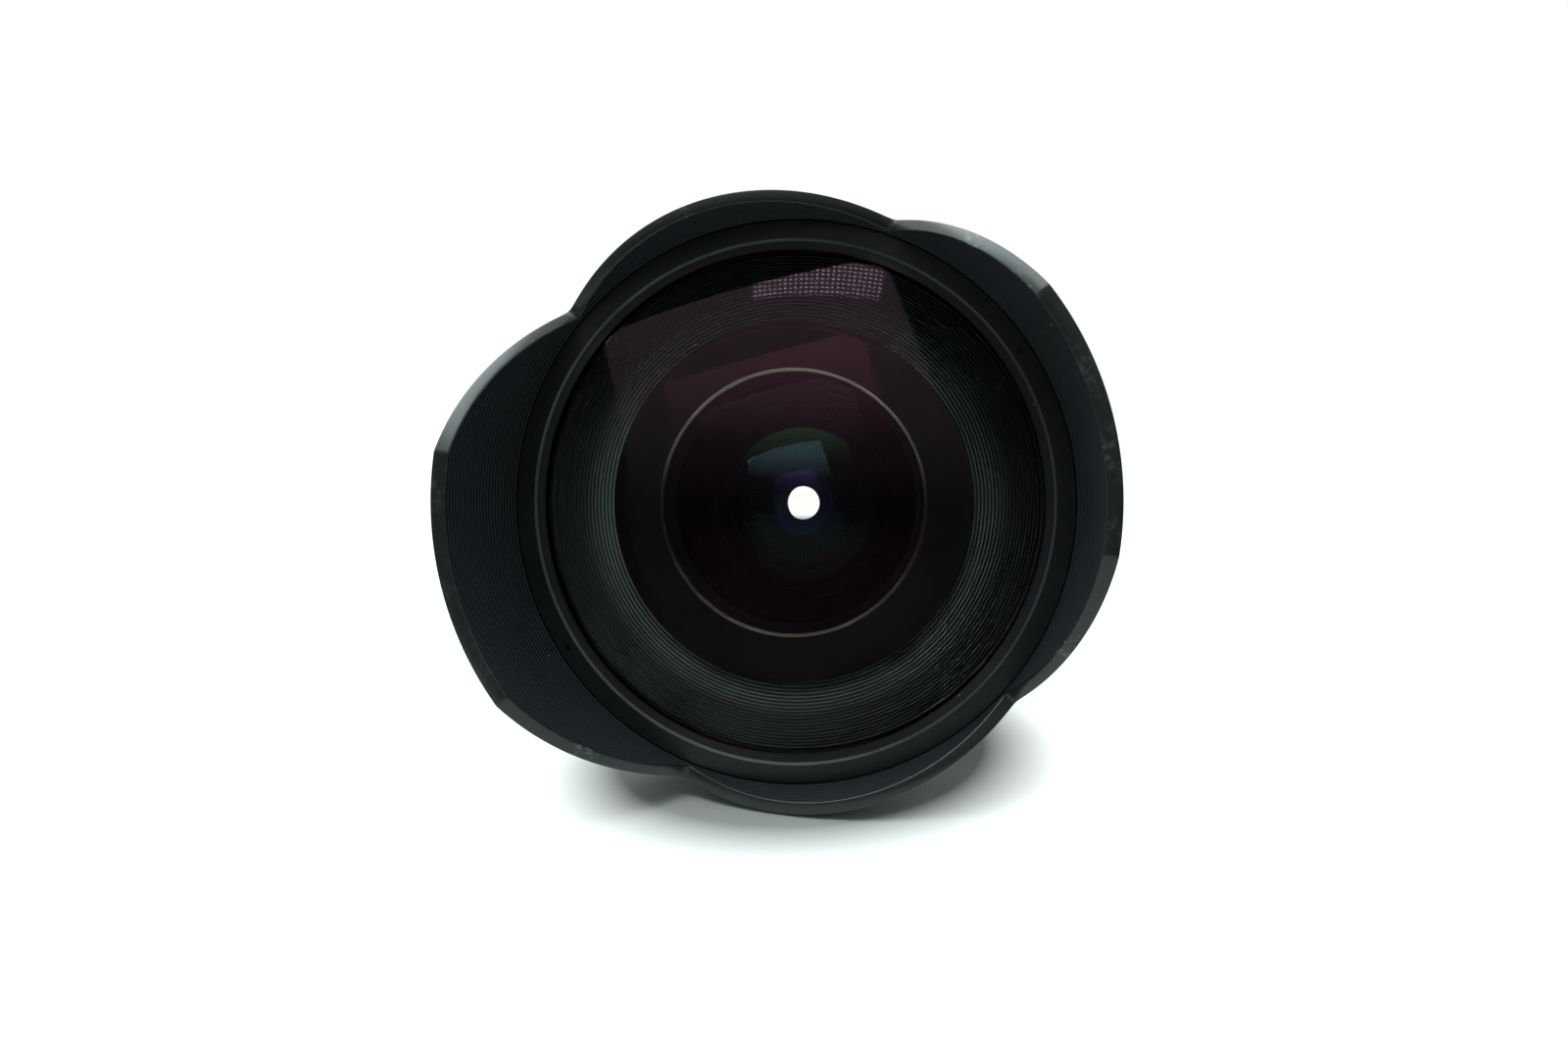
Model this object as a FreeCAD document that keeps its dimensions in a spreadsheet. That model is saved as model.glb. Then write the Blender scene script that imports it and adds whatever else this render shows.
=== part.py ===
import FreeCAD, Part
import math
import os
import Sketcher

# Ultra-wide prime lens with a fixed petal hood, in millimetres.
# Every piece is made about its own optical axis: local z points to the front, z = 0 is the
# seating face of the mount flange, and local x is the top of a landscape picture.
# FRAME then lays the lens on its side: the front looks along -Y and the lens is rolled.


class Size:
    """A number that also knows its formula in the sheet, so that features stay bound to it."""

    def __init__(self, value, text):
        self.value = float(value)
        self.text = text

    def __add__(self, other):
        return join(self, other, "+")

    def __radd__(self, other):
        return join(other, self, "+")

    def __sub__(self, other):
        return join(self, other, "-")

    def __rsub__(self, other):
        return join(other, self, "-")

    def __mul__(self, other):
        return join(self, other, "*")

    def __rmul__(self, other):
        return join(other, self, "*")

    def __truediv__(self, other):
        return join(self, other, "/")

    def __neg__(self):
        return Size(-self.value, "(-" + self.text + ")")

    def __float__(self):
        return self.value


def text_of(item):
    return item.text if isinstance(item, Size) else "(" + repr(float(item)) + ")"


def join(left, right, sign):
    a, b = float(left), float(right)
    value = {"+": a + b, "-": a - b, "*": a * b, "/": a / b if b else 0.0}[sign]
    return Size(value, "(" + text_of(left) + " " + sign + " " + text_of(right) + ")")


def root(item):
    return Size(math.sqrt(item.value), "sqrt(" + item.text + ")")


def surface(vertex, radius, height):
    """z at a height of a ground surface; a positive radius has its centre behind it."""
    drop = root(radius * radius - height * height)
    return vertex - radius + drop if radius.value > 0 else vertex - radius - drop


# Driving dimensions
SIZES = [
    # Mount
    ("flange_inset", 0.5), ("flange_thick", 3.2), ("throat_radius", 22.5), ("spigot_radius", 24.9),
    ("spigot_depth", 6.0), ("register_radius", 26.95), ("register_depth", 1.6),
    ("lug_radius", 26.7), ("lug_thick", 1.6), ("lug_count", 3), ("lug_gap_angle", 62.0),
    ("screw_inset", 2.1), ("screw_count", 4), ("screw_radius", 0.8), ("screw_angle", 45.0),
    ("screw_head", 1.6), ("screw_head_depth", 1.2), ("screw_grip", 1.8), ("shim_thick", 0.15),
    ("shim_inset", 0.1), ("collar_step", 0.6), ("collar_thick", 3.65), ("foot_step", 1.8),
    ("baffle_thick", 0.8), ("baffle_depth", 3.4), ("window_long", 32.0), ("window_short", 24.0),
    # Main barrel
    ("barrel_radius", 33.0), ("barrel_wall", 3.0), ("barrel_front", 60.0), ("foot_thick", 2.0),
    ("ledge_step", 1.4), ("ledge_rear", 38.0), ("ledge_thick", 2.0),
    # Aperture ring, its click spring and its link
    ("ring_gap", 0.2), ("run_gap", 0.08), ("aperture_ring_length", 9.3), ("aperture_wall", 1.8),
    ("aperture_grip_rise", 0.8), ("aperture_grip_margin", 0.6), ("aperture_grip_start", 0.9),
    ("aperture_grip_length", 5.4), ("aperture_ribs", 40), ("aperture_rib_gap", 2.2),
    ("rib_depth", 0.7), ("stop_count", 6), ("stop_pitch_angle", 8.0), ("notch_radius", 0.6),
    ("notch_depth", 0.3), ("spring_thick", 0.3), ("spring_width", 2.0),
    ("spring_sweep_angle", 30.0), ("spring_foot_angle", 6.0), ("spring_play_angle", 2.0),
    ("spring_pocket", 1.25), ("spring_angle", 270.0), ("link_width", 5.0), ("link_thick", 1.5),
    ("link_gap", 1.5), ("link_bar", 2.0), ("link_rest_angle", 126.0), ("link_play_angle", 3.0),
    ("link_screw_depth", 1.5), ("link_offset", 2.8), ("link_seat", 1.1), ("link_slack", 0.5),
    ("link_reach", 10.2), ("peg_radius", 1.2), ("peg_circle", 11.5), ("link_screw_radius", 0.5),
    # Index collar and focus ring
    ("index_length", 7.8), ("index_rear_wall", 2.2), ("index_front_wall", 3.8), ("wide_gap", 0.3),
    ("sleeve_inset", 0.2), ("sleeve_bore_gap", 0.06), ("sleeve_wall", 1.9), ("focus_wall", 2.3),
    ("seat_wall", 1.7), ("focus_length", 31.0), ("scale_length", 8.0), ("grip_end", 0.6),
    ("rubber_thick", 1.9), ("grip_ribs", 72), ("grip_rib_gap", 1.3), ("grip_margin", 1.2),
    ("focus_turn_angle", 130.0), ("focus_travel", 3.0), ("pin_radius", 0.8), ("pin_gap", 0.06),
    ("pin_count", 3), ("pin_angle", 90.0), ("pin_height", 4.5), ("pin_end", 0.15),
    ("stop_seat", 1.0), ("stop_gap", 0.2), ("stop_back", 5.0), ("stop_angle", 30.0),
    ("key_width", 3.0), ("key_length", 6.0), ("key_depth", 0.9), ("key_angle", 200.0),
    ("key_back", 10.0),
    # Front barrel, hood and front cell
    ("shell_flare", 3.5), ("hood_rise", 8.9), ("shell_length", 6.1), ("hood_step", 1.9),
    ("spigot_front_length", 3.8), ("spigot_wall", 1.4), ("accent_width", 1.2),
    ("accent_depth", 0.5), ("accent_rear", 1.5), ("hood_tip_radius", 43.5),
    ("hood_wall_root", 1.55), ("hood_wall_tip", 2.45), ("lens_length", 94.0),
    ("tip_half_width", 40.1), ("notch_half_width", 24.3), ("notch_level", 71.05), ("side_curve", 139.0),
    ("short_petal", 79.25), ("notch_round", 2.2), ("hood_screw_count", 3),
    ("hood_screw_radius", 0.9), ("hood_screw_level", 64.1), ("hood_screw_drop", 0.2),
    ("ring_overhang", 0.2), ("cell_wall", 1.3), ("seal_wall", 1.2), ("ring_thick", 1.2),
    ("ring_front", 70.5), ("bevel", 0.35), ("spanner_radius", 0.5), ("spanner_angle", 19.0),
    ("spanner_depth", 0.8), ("seal_drop", 0.5), ("cell_lip", 0.7),
    ("rib_count", 21), ("rib_height", 0.45), ("rib_low", 0.7), ("rib_gap", 0.4),
    ("baffle_width", 9.8), ("rib_top_gap", 0.3),
    # Second cell
    ("second_flange", 1.5), ("second_wall", 0.8), ("second_shoulder", 2.4), ("second_ring_rise", 0.87),
    ("second_ring_lip", 3.0), ("second_neck", 18.6), ("second_rear", 52.0), ("third_lip", 15.2),
    ("third_ring_inner", 13.0), ("neck_rise", 4.6), ("cell_screw_count", 3),
    ("cell_screw_angle", 60.0), ("cell_screw_inset", 1.5), ("cell_screw_radius", 0.7),
    ("cell_screw_head", 1.2), ("cell_screw_length", 3.6),
    # Middle cell
    ("middle_radius", 15.5), ("middle_front", 51.9), ("middle_flange_gap", 0.05),
    ("middle_flange", 2.0), ("lock_thick", 1.6), ("lock_wall", 2.4), ("middle_lip", 9.6),
    ("middle_ring_inner", 11.6), ("middle_rear_thick", 0.8),
    # Diaphragm
    ("stop_radius", 5.7), ("plate_front", 36.3), ("plate_thick", 0.8), ("housing_radius", 19.0),
    ("housing_bore", 17.5), ("housing_rear", 32.4), ("snap_inner", 16.6), ("snap_depth", 0.65),
    ("snap_thick", 0.3), ("snap_rear", 32.8), ("snap_gap", 0.05), ("rotor_rear", 33.2),
    ("rotor_thick", 0.8), ("rotor_bore", 8.0), ("rotor_gap", 0.08), ("peg_rear", 30.95),
    ("leg_thick", 0.9), ("leg_rear", 31.0), ("blade_count", 6), ("blade_thick", 0.12),
    ("blade_pitch", 0.2), ("blade_first", 34.15), ("blade_inner", 6.5), ("blade_outer", 12.0),
    ("blade_sweep_angle", 113.0), ("blade_back_angle", 5.0), ("ear_outer", 15.0),
    ("ear_back_angle", 18.5), ("ear_root", 1.0), ("ear_sweep_angle", 23.5), ("pivot_circle", 13.8),
    ("pivot_radius", 0.5), ("pivot_gap", 0.04), ("drive_angle", 14.0), ("drive_radius", 0.45),
    ("drive_gap", 0.08), ("blade_turn_angle", 24.2), ("drive_end", 0.15), ("pivot_end", 0.1),
    # Focus cell
    ("focus_cell_rear", 0.6), ("focus_cell_front", 27.2), ("focus_tube_radius", 14.6),
    ("front_bore", 10.5), ("rear_bore", 12.5), ("web_bore", 9.5), ("web_thick", 0.7),
    ("spider_rear", 24.0), ("spider_thick", 2.0), ("guide_thick", 1.92), ("guide_length", 9.4),
    ("spider_window_inner", 18.6), ("spider_rim", 1.0), ("spider_window_angle", 84.0),
    ("focus_ring_inner", 9.2), ("focus_ring_drop", 0.8), ("spacer_inner", 11.4),
    # Glass: semi-diameters, vertices and radii of the ground surfaces
    ("glass_1_open", 24.6), ("glass_1_front", 78.6), ("glass_1_rear", 72.2),
    ("curve_1_front", 82.0), ("curve_1_rear", 50.0), ("glass_2_open", 16.5),
    ("glass_2_front", 69.0), ("glass_2_rear", 66.5), ("curve_2_front", 38.0),
    ("curve_2_rear", 20.0), ("glass_3_edge", 16.0), ("glass_3_open", 12.5),
    ("glass_3_front", 58.2), ("glass_3_rear", 56.4), ("curve_3_front", 120.0),
    ("curve_3_rear", 26.0), ("glass_4_edge", 12.5), ("glass_4_front", 53.3),
    ("glass_4_rear", 47.9), ("curve_4_front", 32.0), ("curve_4_rear", 40.0),
    ("glass_5_rear", 46.8), ("curve_5_rear", 45.0), ("glass_6_front", 44.6),
    ("glass_6_rear", 39.6), ("curve_6_front", 28.0), ("curve_6_rear", 34.0),
    ("glass_7_rear", 38.4), ("curve_7_rear", 50.0), ("glass_8_front", 26.6),
    ("glass_8_rear", 21.2), ("curve_8_front", 22.0), ("curve_8_rear", 30.0),
    ("glass_9_rear", 20.0), ("curve_9_rear", 40.0), ("glass_10_front", 18.2),
    ("curve_10_front", 60.0), ("curve_10_rear", 50.0), ("curve_11_front", 60.0),
    ("glass_11_rear", 12.2), ("curve_11_rear", 22.0), ("glass_12_rear", 6.2),
    ("curve_12_rear", 60.0), ("glass_13_front", 5.9), ("glass_13_rear", 4.3),
    ("curve_13_front", 90.0), ("curve_13_rear", 60.0), ("glass_14_front", 3.95),
    ("glass_14_rear", 0.9), ("curve_14_front", 50.0), ("curve_14_rear", 90.0), ("web_front", 15.4),
    ("roll_angle", 14.0),
]

doc = FreeCAD.newDocument("Lens")
sheet = doc.addObject("Spreadsheet::Sheet", "Sizes")
for row, (word, number) in enumerate(SIZES, start=1):
    sheet.set("A%d" % row, word)
    sheet.set("B%d" % row, repr(number))
    sheet.setAlias("B%d" % row, word)
doc.recompute()


class Sheet:
    def __getattr__(self, word):
        return Size(getattr(sheet, word), "Sizes." + word)


d = Sheet()
UP = FreeCAD.Vector(0, 0, 1)
FRAME = FreeCAD.Placement(FreeCAD.Vector(), FreeCAD.Rotation(FreeCAD.Vector(1, 0, 0), 90))
FRAME = FRAME.multiply(FreeCAD.Placement(
    FreeCAD.Vector(), FreeCAD.Rotation(UP, float(d.roll_angle))))
nodes = []


def turn(angle):
    return FreeCAD.Placement(FreeCAD.Vector(), FreeCAD.Rotation(UP, float(angle)))


def axial(angle, radius, level):
    """A place at a radius and level whose z stays along the lens."""
    return turn(angle).multiply(FreeCAD.Placement(
        FreeCAD.Vector(float(radius), 0, float(level)), FreeCAD.Rotation()))


def radial(angle, radius, level):
    """A place at a radius and level whose z points straight out from the axis."""
    return turn(angle).multiply(FreeCAD.Placement(
        FreeCAD.Vector(float(radius), 0, float(level)),
        FreeCAD.Rotation(FreeCAD.Vector(0, 1, 0), 90)))


def bind(thing, path, size):
    thing.setExpression(path, text_of(size))


def node(name, thing):
    thing.Label = name
    thing.Placement = FRAME.multiply(thing.Placement)
    nodes.append(thing)


def plane_of(body, role):
    return next(plane for plane in body.Origin.OriginFeatures if plane.Role == role)


def new_sketch(body, role):
    sketch = body.newObject("Sketcher::SketchObject", body.Name + "_sketch")
    sketch.AttachmentSupport = [(plane_of(body, role), "")]
    sketch.MapMode = "FlatFace"
    return sketch


def pin_point(sketch, index, end, across, along):
    """Hold one end of an edge at its distances from the sketch's axes."""
    if not isinstance(across, Size) and across == 0:
        sketch.addConstraint(Sketcher.Constraint("PointOnObject", index, end, -2))
    else:
        place = sketch.addConstraint(
            Sketcher.Constraint("DistanceX", -1, 1, index, end, float(across)))
        bind(sketch, "Constraints[%d]" % place, across)
    if not isinstance(along, Size) and along == 0:
        sketch.addConstraint(Sketcher.Constraint("PointOnObject", index, end, -1))
    else:
        place = sketch.addConstraint(
            Sketcher.Constraint("DistanceY", -1, 1, index, end, float(along)))
        bind(sketch, "Constraints[%d]" % place, along)


def outline(sketch, points):
    """Closed outline through points (across, along); a third entry makes the edge to that
    point an arc of that radius with its centre on the axis."""
    ends = []
    for i, point in enumerate(points):
        before = points[i - 1]
        a = FreeCAD.Vector(float(before[0]), float(before[1]), 0)
        b = FreeCAD.Vector(float(point[0]), float(point[1]), 0)
        if len(point) == 2:
            index = sketch.addGeometry(Part.LineSegment(a, b))
            ends.append((index, 1, 2))
            continue
        radius = float(point[2])
        on_axis = a if a.x == 0 else b
        centre = FreeCAD.Vector(0, on_axis.y - radius, 0)
        first = math.atan2(a.y - centre.y, a.x)
        last = math.atan2(b.y - centre.y, b.x)
        circle = Part.Circle(centre, UP, abs(radius))
        forward = (last - first) % (2 * math.pi) < math.pi
        start, stop = (first, last) if forward else (last, first)
        index = sketch.addGeometry(Part.ArcOfCircle(circle, start, stop))
        sketch.addConstraint(Sketcher.Constraint("PointOnObject", index, 3, -2))
        ends.append((index, 1, 2) if forward else (index, 2, 1))
    for i, (index, start, stop) in enumerate(ends):
        after = ends[(i + 1) % len(ends)]
        sketch.addConstraint(Sketcher.Constraint("Coincident", index, stop, after[0], after[1]))
        pin_point(sketch, index, stop, points[i][0], points[i][1])


def turned(name, points, start=0, sweep=None):
    """A ring or disc turned about the optical axis from its half section."""
    body = doc.addObject("PartDesign::Body", name)
    sketch = new_sketch(body, "XZ_Plane")
    outline(sketch, points)
    solid = body.newObject("PartDesign::Revolution", name + "_turned")
    solid.Profile = sketch
    solid.ReferenceAxis = (sketch, ["V_Axis"])
    if sweep is None:
        solid.Angle = 360
    else:
        bind(solid, "Angle", sweep)
    body.Placement = turn(start)
    return body


def tube(name, inner, outer, low, high, start=0, sweep=None):
    return turned(name, [(inner, low), (outer, low), (outer, high), (inner, high)], start, sweep)


def cylinder(name, radius, length, place):
    thing = doc.addObject("Part::Cylinder", name)
    bind(thing, "Radius", radius)
    bind(thing, "Height", length)
    thing.Placement = place
    return thing


def block(name, length, width, depth, place):
    """A box that runs out from its place along x and z and is centred across y."""
    thing = doc.addObject("Part::Box", name)
    bind(thing, "Length", length)
    bind(thing, "Width", width)
    bind(thing, "Height", depth)
    middle = FreeCAD.Vector(0, -float(width) / 2, 0)
    thing.Placement = place.multiply(FreeCAD.Placement(middle, FreeCAD.Rotation()))
    return thing


def fused(name, things):
    result = doc.addObject("Part::MultiFuse", name)
    result.Shapes = things
    result.Refine = True
    return result


def cut(name, base, tools):
    result = doc.addObject("Part::Cut", name)
    result.Base = base
    result.Tool = tools[0] if len(tools) == 1 else fused(name + "_tools", tools)
    return result


def group(name, things):
    result = doc.addObject("Part::Compound", name)
    result.Links = things
    return result


def spaced(count, start=0.0):
    count = int(round(float(count)))
    return [float(start) + i * 360.0 / count for i in range(count)]


def glass(name, edge, front, front_curve, rear, rear_curve, rear_open=None):
    """A ground element; a positive curve has its centre behind the surface. Where the rear
    hollow is narrower than the edge, a flat annulus closes it."""
    points = [(0, front), (edge, surface(front, front_curve, edge), front_curve)]
    if rear_open is None:
        points.append((edge, surface(rear, rear_curve, edge)))
    else:
        points.append((edge, surface(rear, rear_curve, rear_open)))
        points.append((rear_open, surface(rear, rear_curve, rear_open)))
    points.append((0, rear, rear_curve))
    body = turned(name, points)
    node(name, body)
    return body


# Radii that follow the barrel, from its wall outwards and inwards
barrel_bore = d.barrel_radius - d.barrel_wall
ledge_bore = barrel_bore - d.ledge_step
collar_bore = barrel_bore - d.foot_step
collar_radius = d.barrel_radius + d.collar_step
flange_radius = d.barrel_radius - d.flange_inset
screw_circle = flange_radius - d.screw_inset
cell_screw_circle = d.barrel_radius - d.cell_screw_inset
lock_inner = barrel_bore - d.lock_wall
aperture_ring_radius = d.barrel_radius + d.aperture_wall
aperture_grip_radius = aperture_ring_radius + d.aperture_grip_rise
index_rear_radius = d.barrel_radius + d.index_rear_wall
index_front_radius = d.barrel_radius + d.index_front_wall
sleeve_radius = d.barrel_radius + d.sleeve_wall
focus_radius = sleeve_radius + d.focus_wall
focus_seat = sleeve_radius + d.seat_wall
grip_radius = focus_seat + d.rubber_thick
guide_outer = barrel_bore - d.run_gap
guide_inner = guide_outer - d.guide_thick
spider_window_outer = guide_inner - d.spider_rim
link_radius = d.housing_radius + d.link_gap

# The hood's root stands on the barrel; from there inwards past the front glass
hood_root_radius = d.barrel_radius + d.hood_rise
shell_radius = hood_root_radius - d.shell_flare
spigot_front_radius = hood_root_radius - d.hood_step
front_cell_bore = spigot_front_radius - d.spigot_wall
ring_outer = spigot_front_radius + d.ring_overhang
ring_inner = front_cell_bore - d.cell_wall
glass_1_edge = ring_inner - d.seal_wall
baffle_outer = glass_1_edge - d.cell_lip
rib_inner = baffle_outer - d.baffle_width
second_radius = rib_inner - d.rib_gap
second_ring_bore = second_radius - d.second_wall
glass_2_edge = second_ring_bore - d.second_shoulder
second_ring_inner = glass_2_edge - d.second_ring_lip

# Levels that several pieces share
collar_rear = d.flange_thick + d.shim_thick
barrel_rear = collar_rear + d.collar_thick
aperture_rear = barrel_rear + d.ring_gap
aperture_front = aperture_rear + d.aperture_ring_length
index_rear = aperture_front + d.ring_gap
index_front = index_rear + d.index_length
focus_rear = index_front + d.wide_gap
focus_front = focus_rear + d.focus_length
sleeve_rear = focus_rear + d.sleeve_inset
sleeve_front = focus_front - 2 * d.sleeve_inset
shell_rear = focus_front + d.wide_gap
shell_front = shell_rear + d.shell_length
second_top = d.barrel_front + d.second_flange
cell_seat = shell_front + d.spigot_front_length
second_front = d.second_ring_rise + surface(d.glass_2_front, d.curve_2_front,
                                            second_ring_inner)
ring_rear = d.ring_front - d.ring_thick
ledge_front = d.ledge_rear + d.ledge_thick
tiny, over = 0.1, 1.0


def mount():
    plate = turned("flange_blank", [
        (d.throat_radius, -d.spigot_depth), (d.lug_radius, -d.spigot_depth),
        (d.lug_radius, -(d.spigot_depth - d.lug_thick)),
        (d.spigot_radius, -(d.spigot_depth - d.lug_thick)),
        (d.spigot_radius, -d.register_depth), (d.register_radius, -d.register_depth),
        (d.register_radius, 0), (flange_radius, 0), (flange_radius, d.flange_thick),
        (d.throat_radius, d.flange_thick)])
    tools = []
    for i, angle in enumerate(spaced(d.lug_count)):
        tools.append(tube("lug_gap_%d" % i, d.spigot_radius, d.register_radius + tiny,
                          -d.spigot_depth - tiny, -(d.spigot_depth - d.lug_thick),
                          angle, d.lug_gap_angle))
    screws = []
    length = barrel_rear + d.screw_grip - d.screw_head_depth
    for i, angle in enumerate(spaced(d.screw_count, d.screw_angle)):
        seat = axial(angle, screw_circle, 0)
        shank = axial(angle, screw_circle, d.screw_head_depth)
        head = cylinder("flange_head_%d" % i, d.screw_head, d.screw_head_depth, seat)
        stem = cylinder("flange_stem_%d" % i, d.screw_radius, length, shank)
        screws.append(fused("flange_screw_%d" % i, [head, stem]))
        tools.append(screws[-1])
    node("mount_flange", cut("mount_flange", plate, tools))
    node("mount_screws", group("mount_screws", screws))
    shim = tube("shim_blank", collar_bore, flange_radius - d.shim_inset,
                d.flange_thick, collar_rear)
    node("mount_shim", cut("mount_shim", shim, screws))
    disc = turned("baffle_blank", [(0, -d.baffle_depth), (d.throat_radius, -d.baffle_depth),
                                   (d.throat_radius, d.baffle_thick - d.baffle_depth),
                                   (0, d.baffle_thick - d.baffle_depth)])
    low = float(-d.baffle_depth) - tiny
    place = FreeCAD.Placement(FreeCAD.Vector(-float(d.window_short) / 2, 0, low),
                              FreeCAD.Rotation())
    window = block("baffle_window", d.window_short, d.window_long, d.baffle_thick + 2 * tiny,
                   place)
    node("rear_baffle", cut("rear_baffle", disc, [window]))
    collar = tube("collar_blank", collar_bore, collar_radius, collar_rear, barrel_rear)
    node("rear_collar", cut("rear_collar", collar, screws))
    return screws


def blind(name, angle, low, high, start):
    """The link's way through the barrel wall, as wide as its sweep and some slack."""
    half = math.degrees(float(d.link_width) / 2 / float(barrel_bore))
    sweep = d.stop_count * d.stop_pitch_angle + 2 * half + 2 * float(d.link_play_angle)
    return tube(name, collar_bore, d.barrel_radius + over, low, high,
                float(start - d.link_play_angle) - half, sweep)


def main_barrel(screws):
    """Fixed tube that carries every group, with straight slots for the guide pins."""
    outer, bore = d.barrel_radius, barrel_bore
    blank = turned("barrel_blank", [
        (collar_bore, barrel_rear), (outer, barrel_rear), (outer, d.barrel_front),
        (bore, d.barrel_front), (bore, ledge_front), (ledge_bore, ledge_front),
        (ledge_bore, d.ledge_rear), (bore, d.ledge_rear),
        (bore, barrel_rear + d.foot_thick), (collar_bore, barrel_rear + d.foot_thick)])
    tools = list(screws)
    slot_low = focus_rear + d.pin_height - 2 * d.pin_radius
    slot_length = d.focus_travel + 4 * d.pin_radius
    for i, angle in enumerate(spaced(d.pin_count, d.pin_angle)):
        width = 2 * (d.pin_radius + d.pin_gap)
        tools.append(block("straight_slot_%d" % i, outer, width, slot_length,
                           axial(angle, ledge_bore, slot_low)))
    low = aperture_rear + d.link_offset - d.link_slack
    high = aperture_rear + d.link_offset + d.link_thick + d.link_slack
    tools.append(blind("link_window", 0, low, high, d.link_rest_angle))
    floor = d.barrel_radius - d.spring_pocket
    pocket_low = spring_level() - d.spring_width / 2 - d.link_slack
    pocket_high = spring_level() + d.spring_width / 2 + d.link_slack
    tools.append(tube("spring_pocket", floor, outer + over, pocket_low, pocket_high,
                      d.spring_angle - d.spring_play_angle,
                      d.spring_sweep_angle + 2 * d.spring_play_angle))
    tools.append(stop_pin("stop_hole"))
    node("main_barrel", cut("main_barrel", blank, tools + cell_screws("barrel")))


def spring_level():
    return aperture_front - d.spring_width


def click_spring():
    """Leaf that clicks the aperture ring: a foot, a thin arc and a round nose."""
    floor = d.barrel_radius - d.spring_pocket
    low = spring_level() - d.spring_width / 2
    high = spring_level() + d.spring_width / 2
    mid = d.barrel_radius - d.notch_radius
    leaf = tube("leaf", mid - d.spring_thick, mid, low, high, d.spring_angle, d.spring_sweep_angle)
    foot = tube("leaf_foot", floor, mid, low, high, d.spring_angle, d.spring_foot_angle)
    angle = float(d.spring_angle) + float(d.spring_sweep_angle) - float(d.spring_foot_angle) / 2
    nose = cylinder("leaf_nose", d.notch_radius - d.run_gap / 2, d.spring_width,
                    axial(angle, mid, low))
    node("click_spring", fused("click_spring", [leaf, foot, nose]))
    return angle


def aperture_ring(nose_angle):
    grip_low = aperture_rear + d.aperture_grip_start
    grip_high = grip_low + d.aperture_grip_length
    bore, plain, grip = (d.barrel_radius + d.run_gap, aperture_ring_radius,
                         aperture_grip_radius)
    blank = turned("aperture_blank", [
        (bore, aperture_rear), (plain, aperture_rear), (plain, grip_low), (grip, grip_low),
        (grip, grip_high), (plain, grip_high), (plain, aperture_front), (bore, aperture_front)])
    tools = []
    for i, angle in enumerate(spaced(d.aperture_ribs)):
        tools.append(block("aperture_groove_%d" % i, d.rib_depth + over, d.aperture_rib_gap,
                           d.aperture_grip_length - 2 * d.aperture_grip_margin,
                           axial(angle, grip - d.rib_depth,
                                 grip_low + d.aperture_grip_margin)))
    low = spring_level() - d.spring_width / 2
    for i in range(int(round(float(d.stop_count))) + 1):
        angle = nose_angle - i * float(d.stop_pitch_angle)
        tools.append(cylinder("click_notch_%d" % i, d.notch_radius, d.spring_width * 2,
                              axial(angle, bore + d.notch_depth - d.notch_radius, low)))
    tools += [link_tongue("tongue_seat"), link_screw("link_screw_hole")]
    node("aperture_ring", cut("aperture_ring", blank, tools))


def link_tongue(name):
    level = aperture_rear + d.link_offset
    reach = d.barrel_radius + d.link_seat - link_radius
    return block(name, reach, d.link_width, d.link_thick,
                 axial(d.link_rest_angle, link_radius, level))


def link_screw(name):
    level = aperture_rear + d.link_offset + d.link_thick / 2
    start = d.barrel_radius - d.link_screw_depth
    return cylinder(name, d.link_screw_radius, aperture_ring_radius - start,
                    radial(d.link_rest_angle, start, level))


def aperture_link():
    """Arm from the aperture ring through the barrel wall to the rotor's peg."""
    low = aperture_rear + d.link_offset
    bar = block("link_bar", d.link_bar, d.link_width, d.leg_rear + d.leg_thick - low,
                axial(d.link_rest_angle, link_radius, low))
    leg = block("link_leg", link_radius + d.link_bar - d.link_reach, d.link_width,
                d.leg_thick, axial(d.link_rest_angle, d.link_reach, d.leg_rear))
    whole = fused("link_blank", [link_tongue("link_tongue"), bar, leg])
    fork = block("link_fork", d.peg_circle + d.peg_radius + d.drive_gap - d.link_reach + tiny,
                 2 * (d.peg_radius + d.drive_gap), d.leg_thick + 2 * tiny,
                 axial(d.link_rest_angle, d.link_reach - tiny, d.leg_rear - tiny))
    node("aperture_link", cut("aperture_link", whole, [fork, link_screw("link_thread")]))
    node("link_screw", link_screw("link_screw"))


def index_collar():
    node("index_collar", turned("index_collar", [
        (d.barrel_radius, index_rear), (index_rear_radius, index_rear),
        (index_front_radius, index_front), (d.barrel_radius, index_front)]))


def stop_pin(name):
    level = focus_front - d.stop_back
    start = barrel_bore + d.stop_seat
    return cylinder(name, d.pin_radius, sleeve_radius - d.stop_gap - start,
                    radial(d.stop_angle, start, level))


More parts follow.
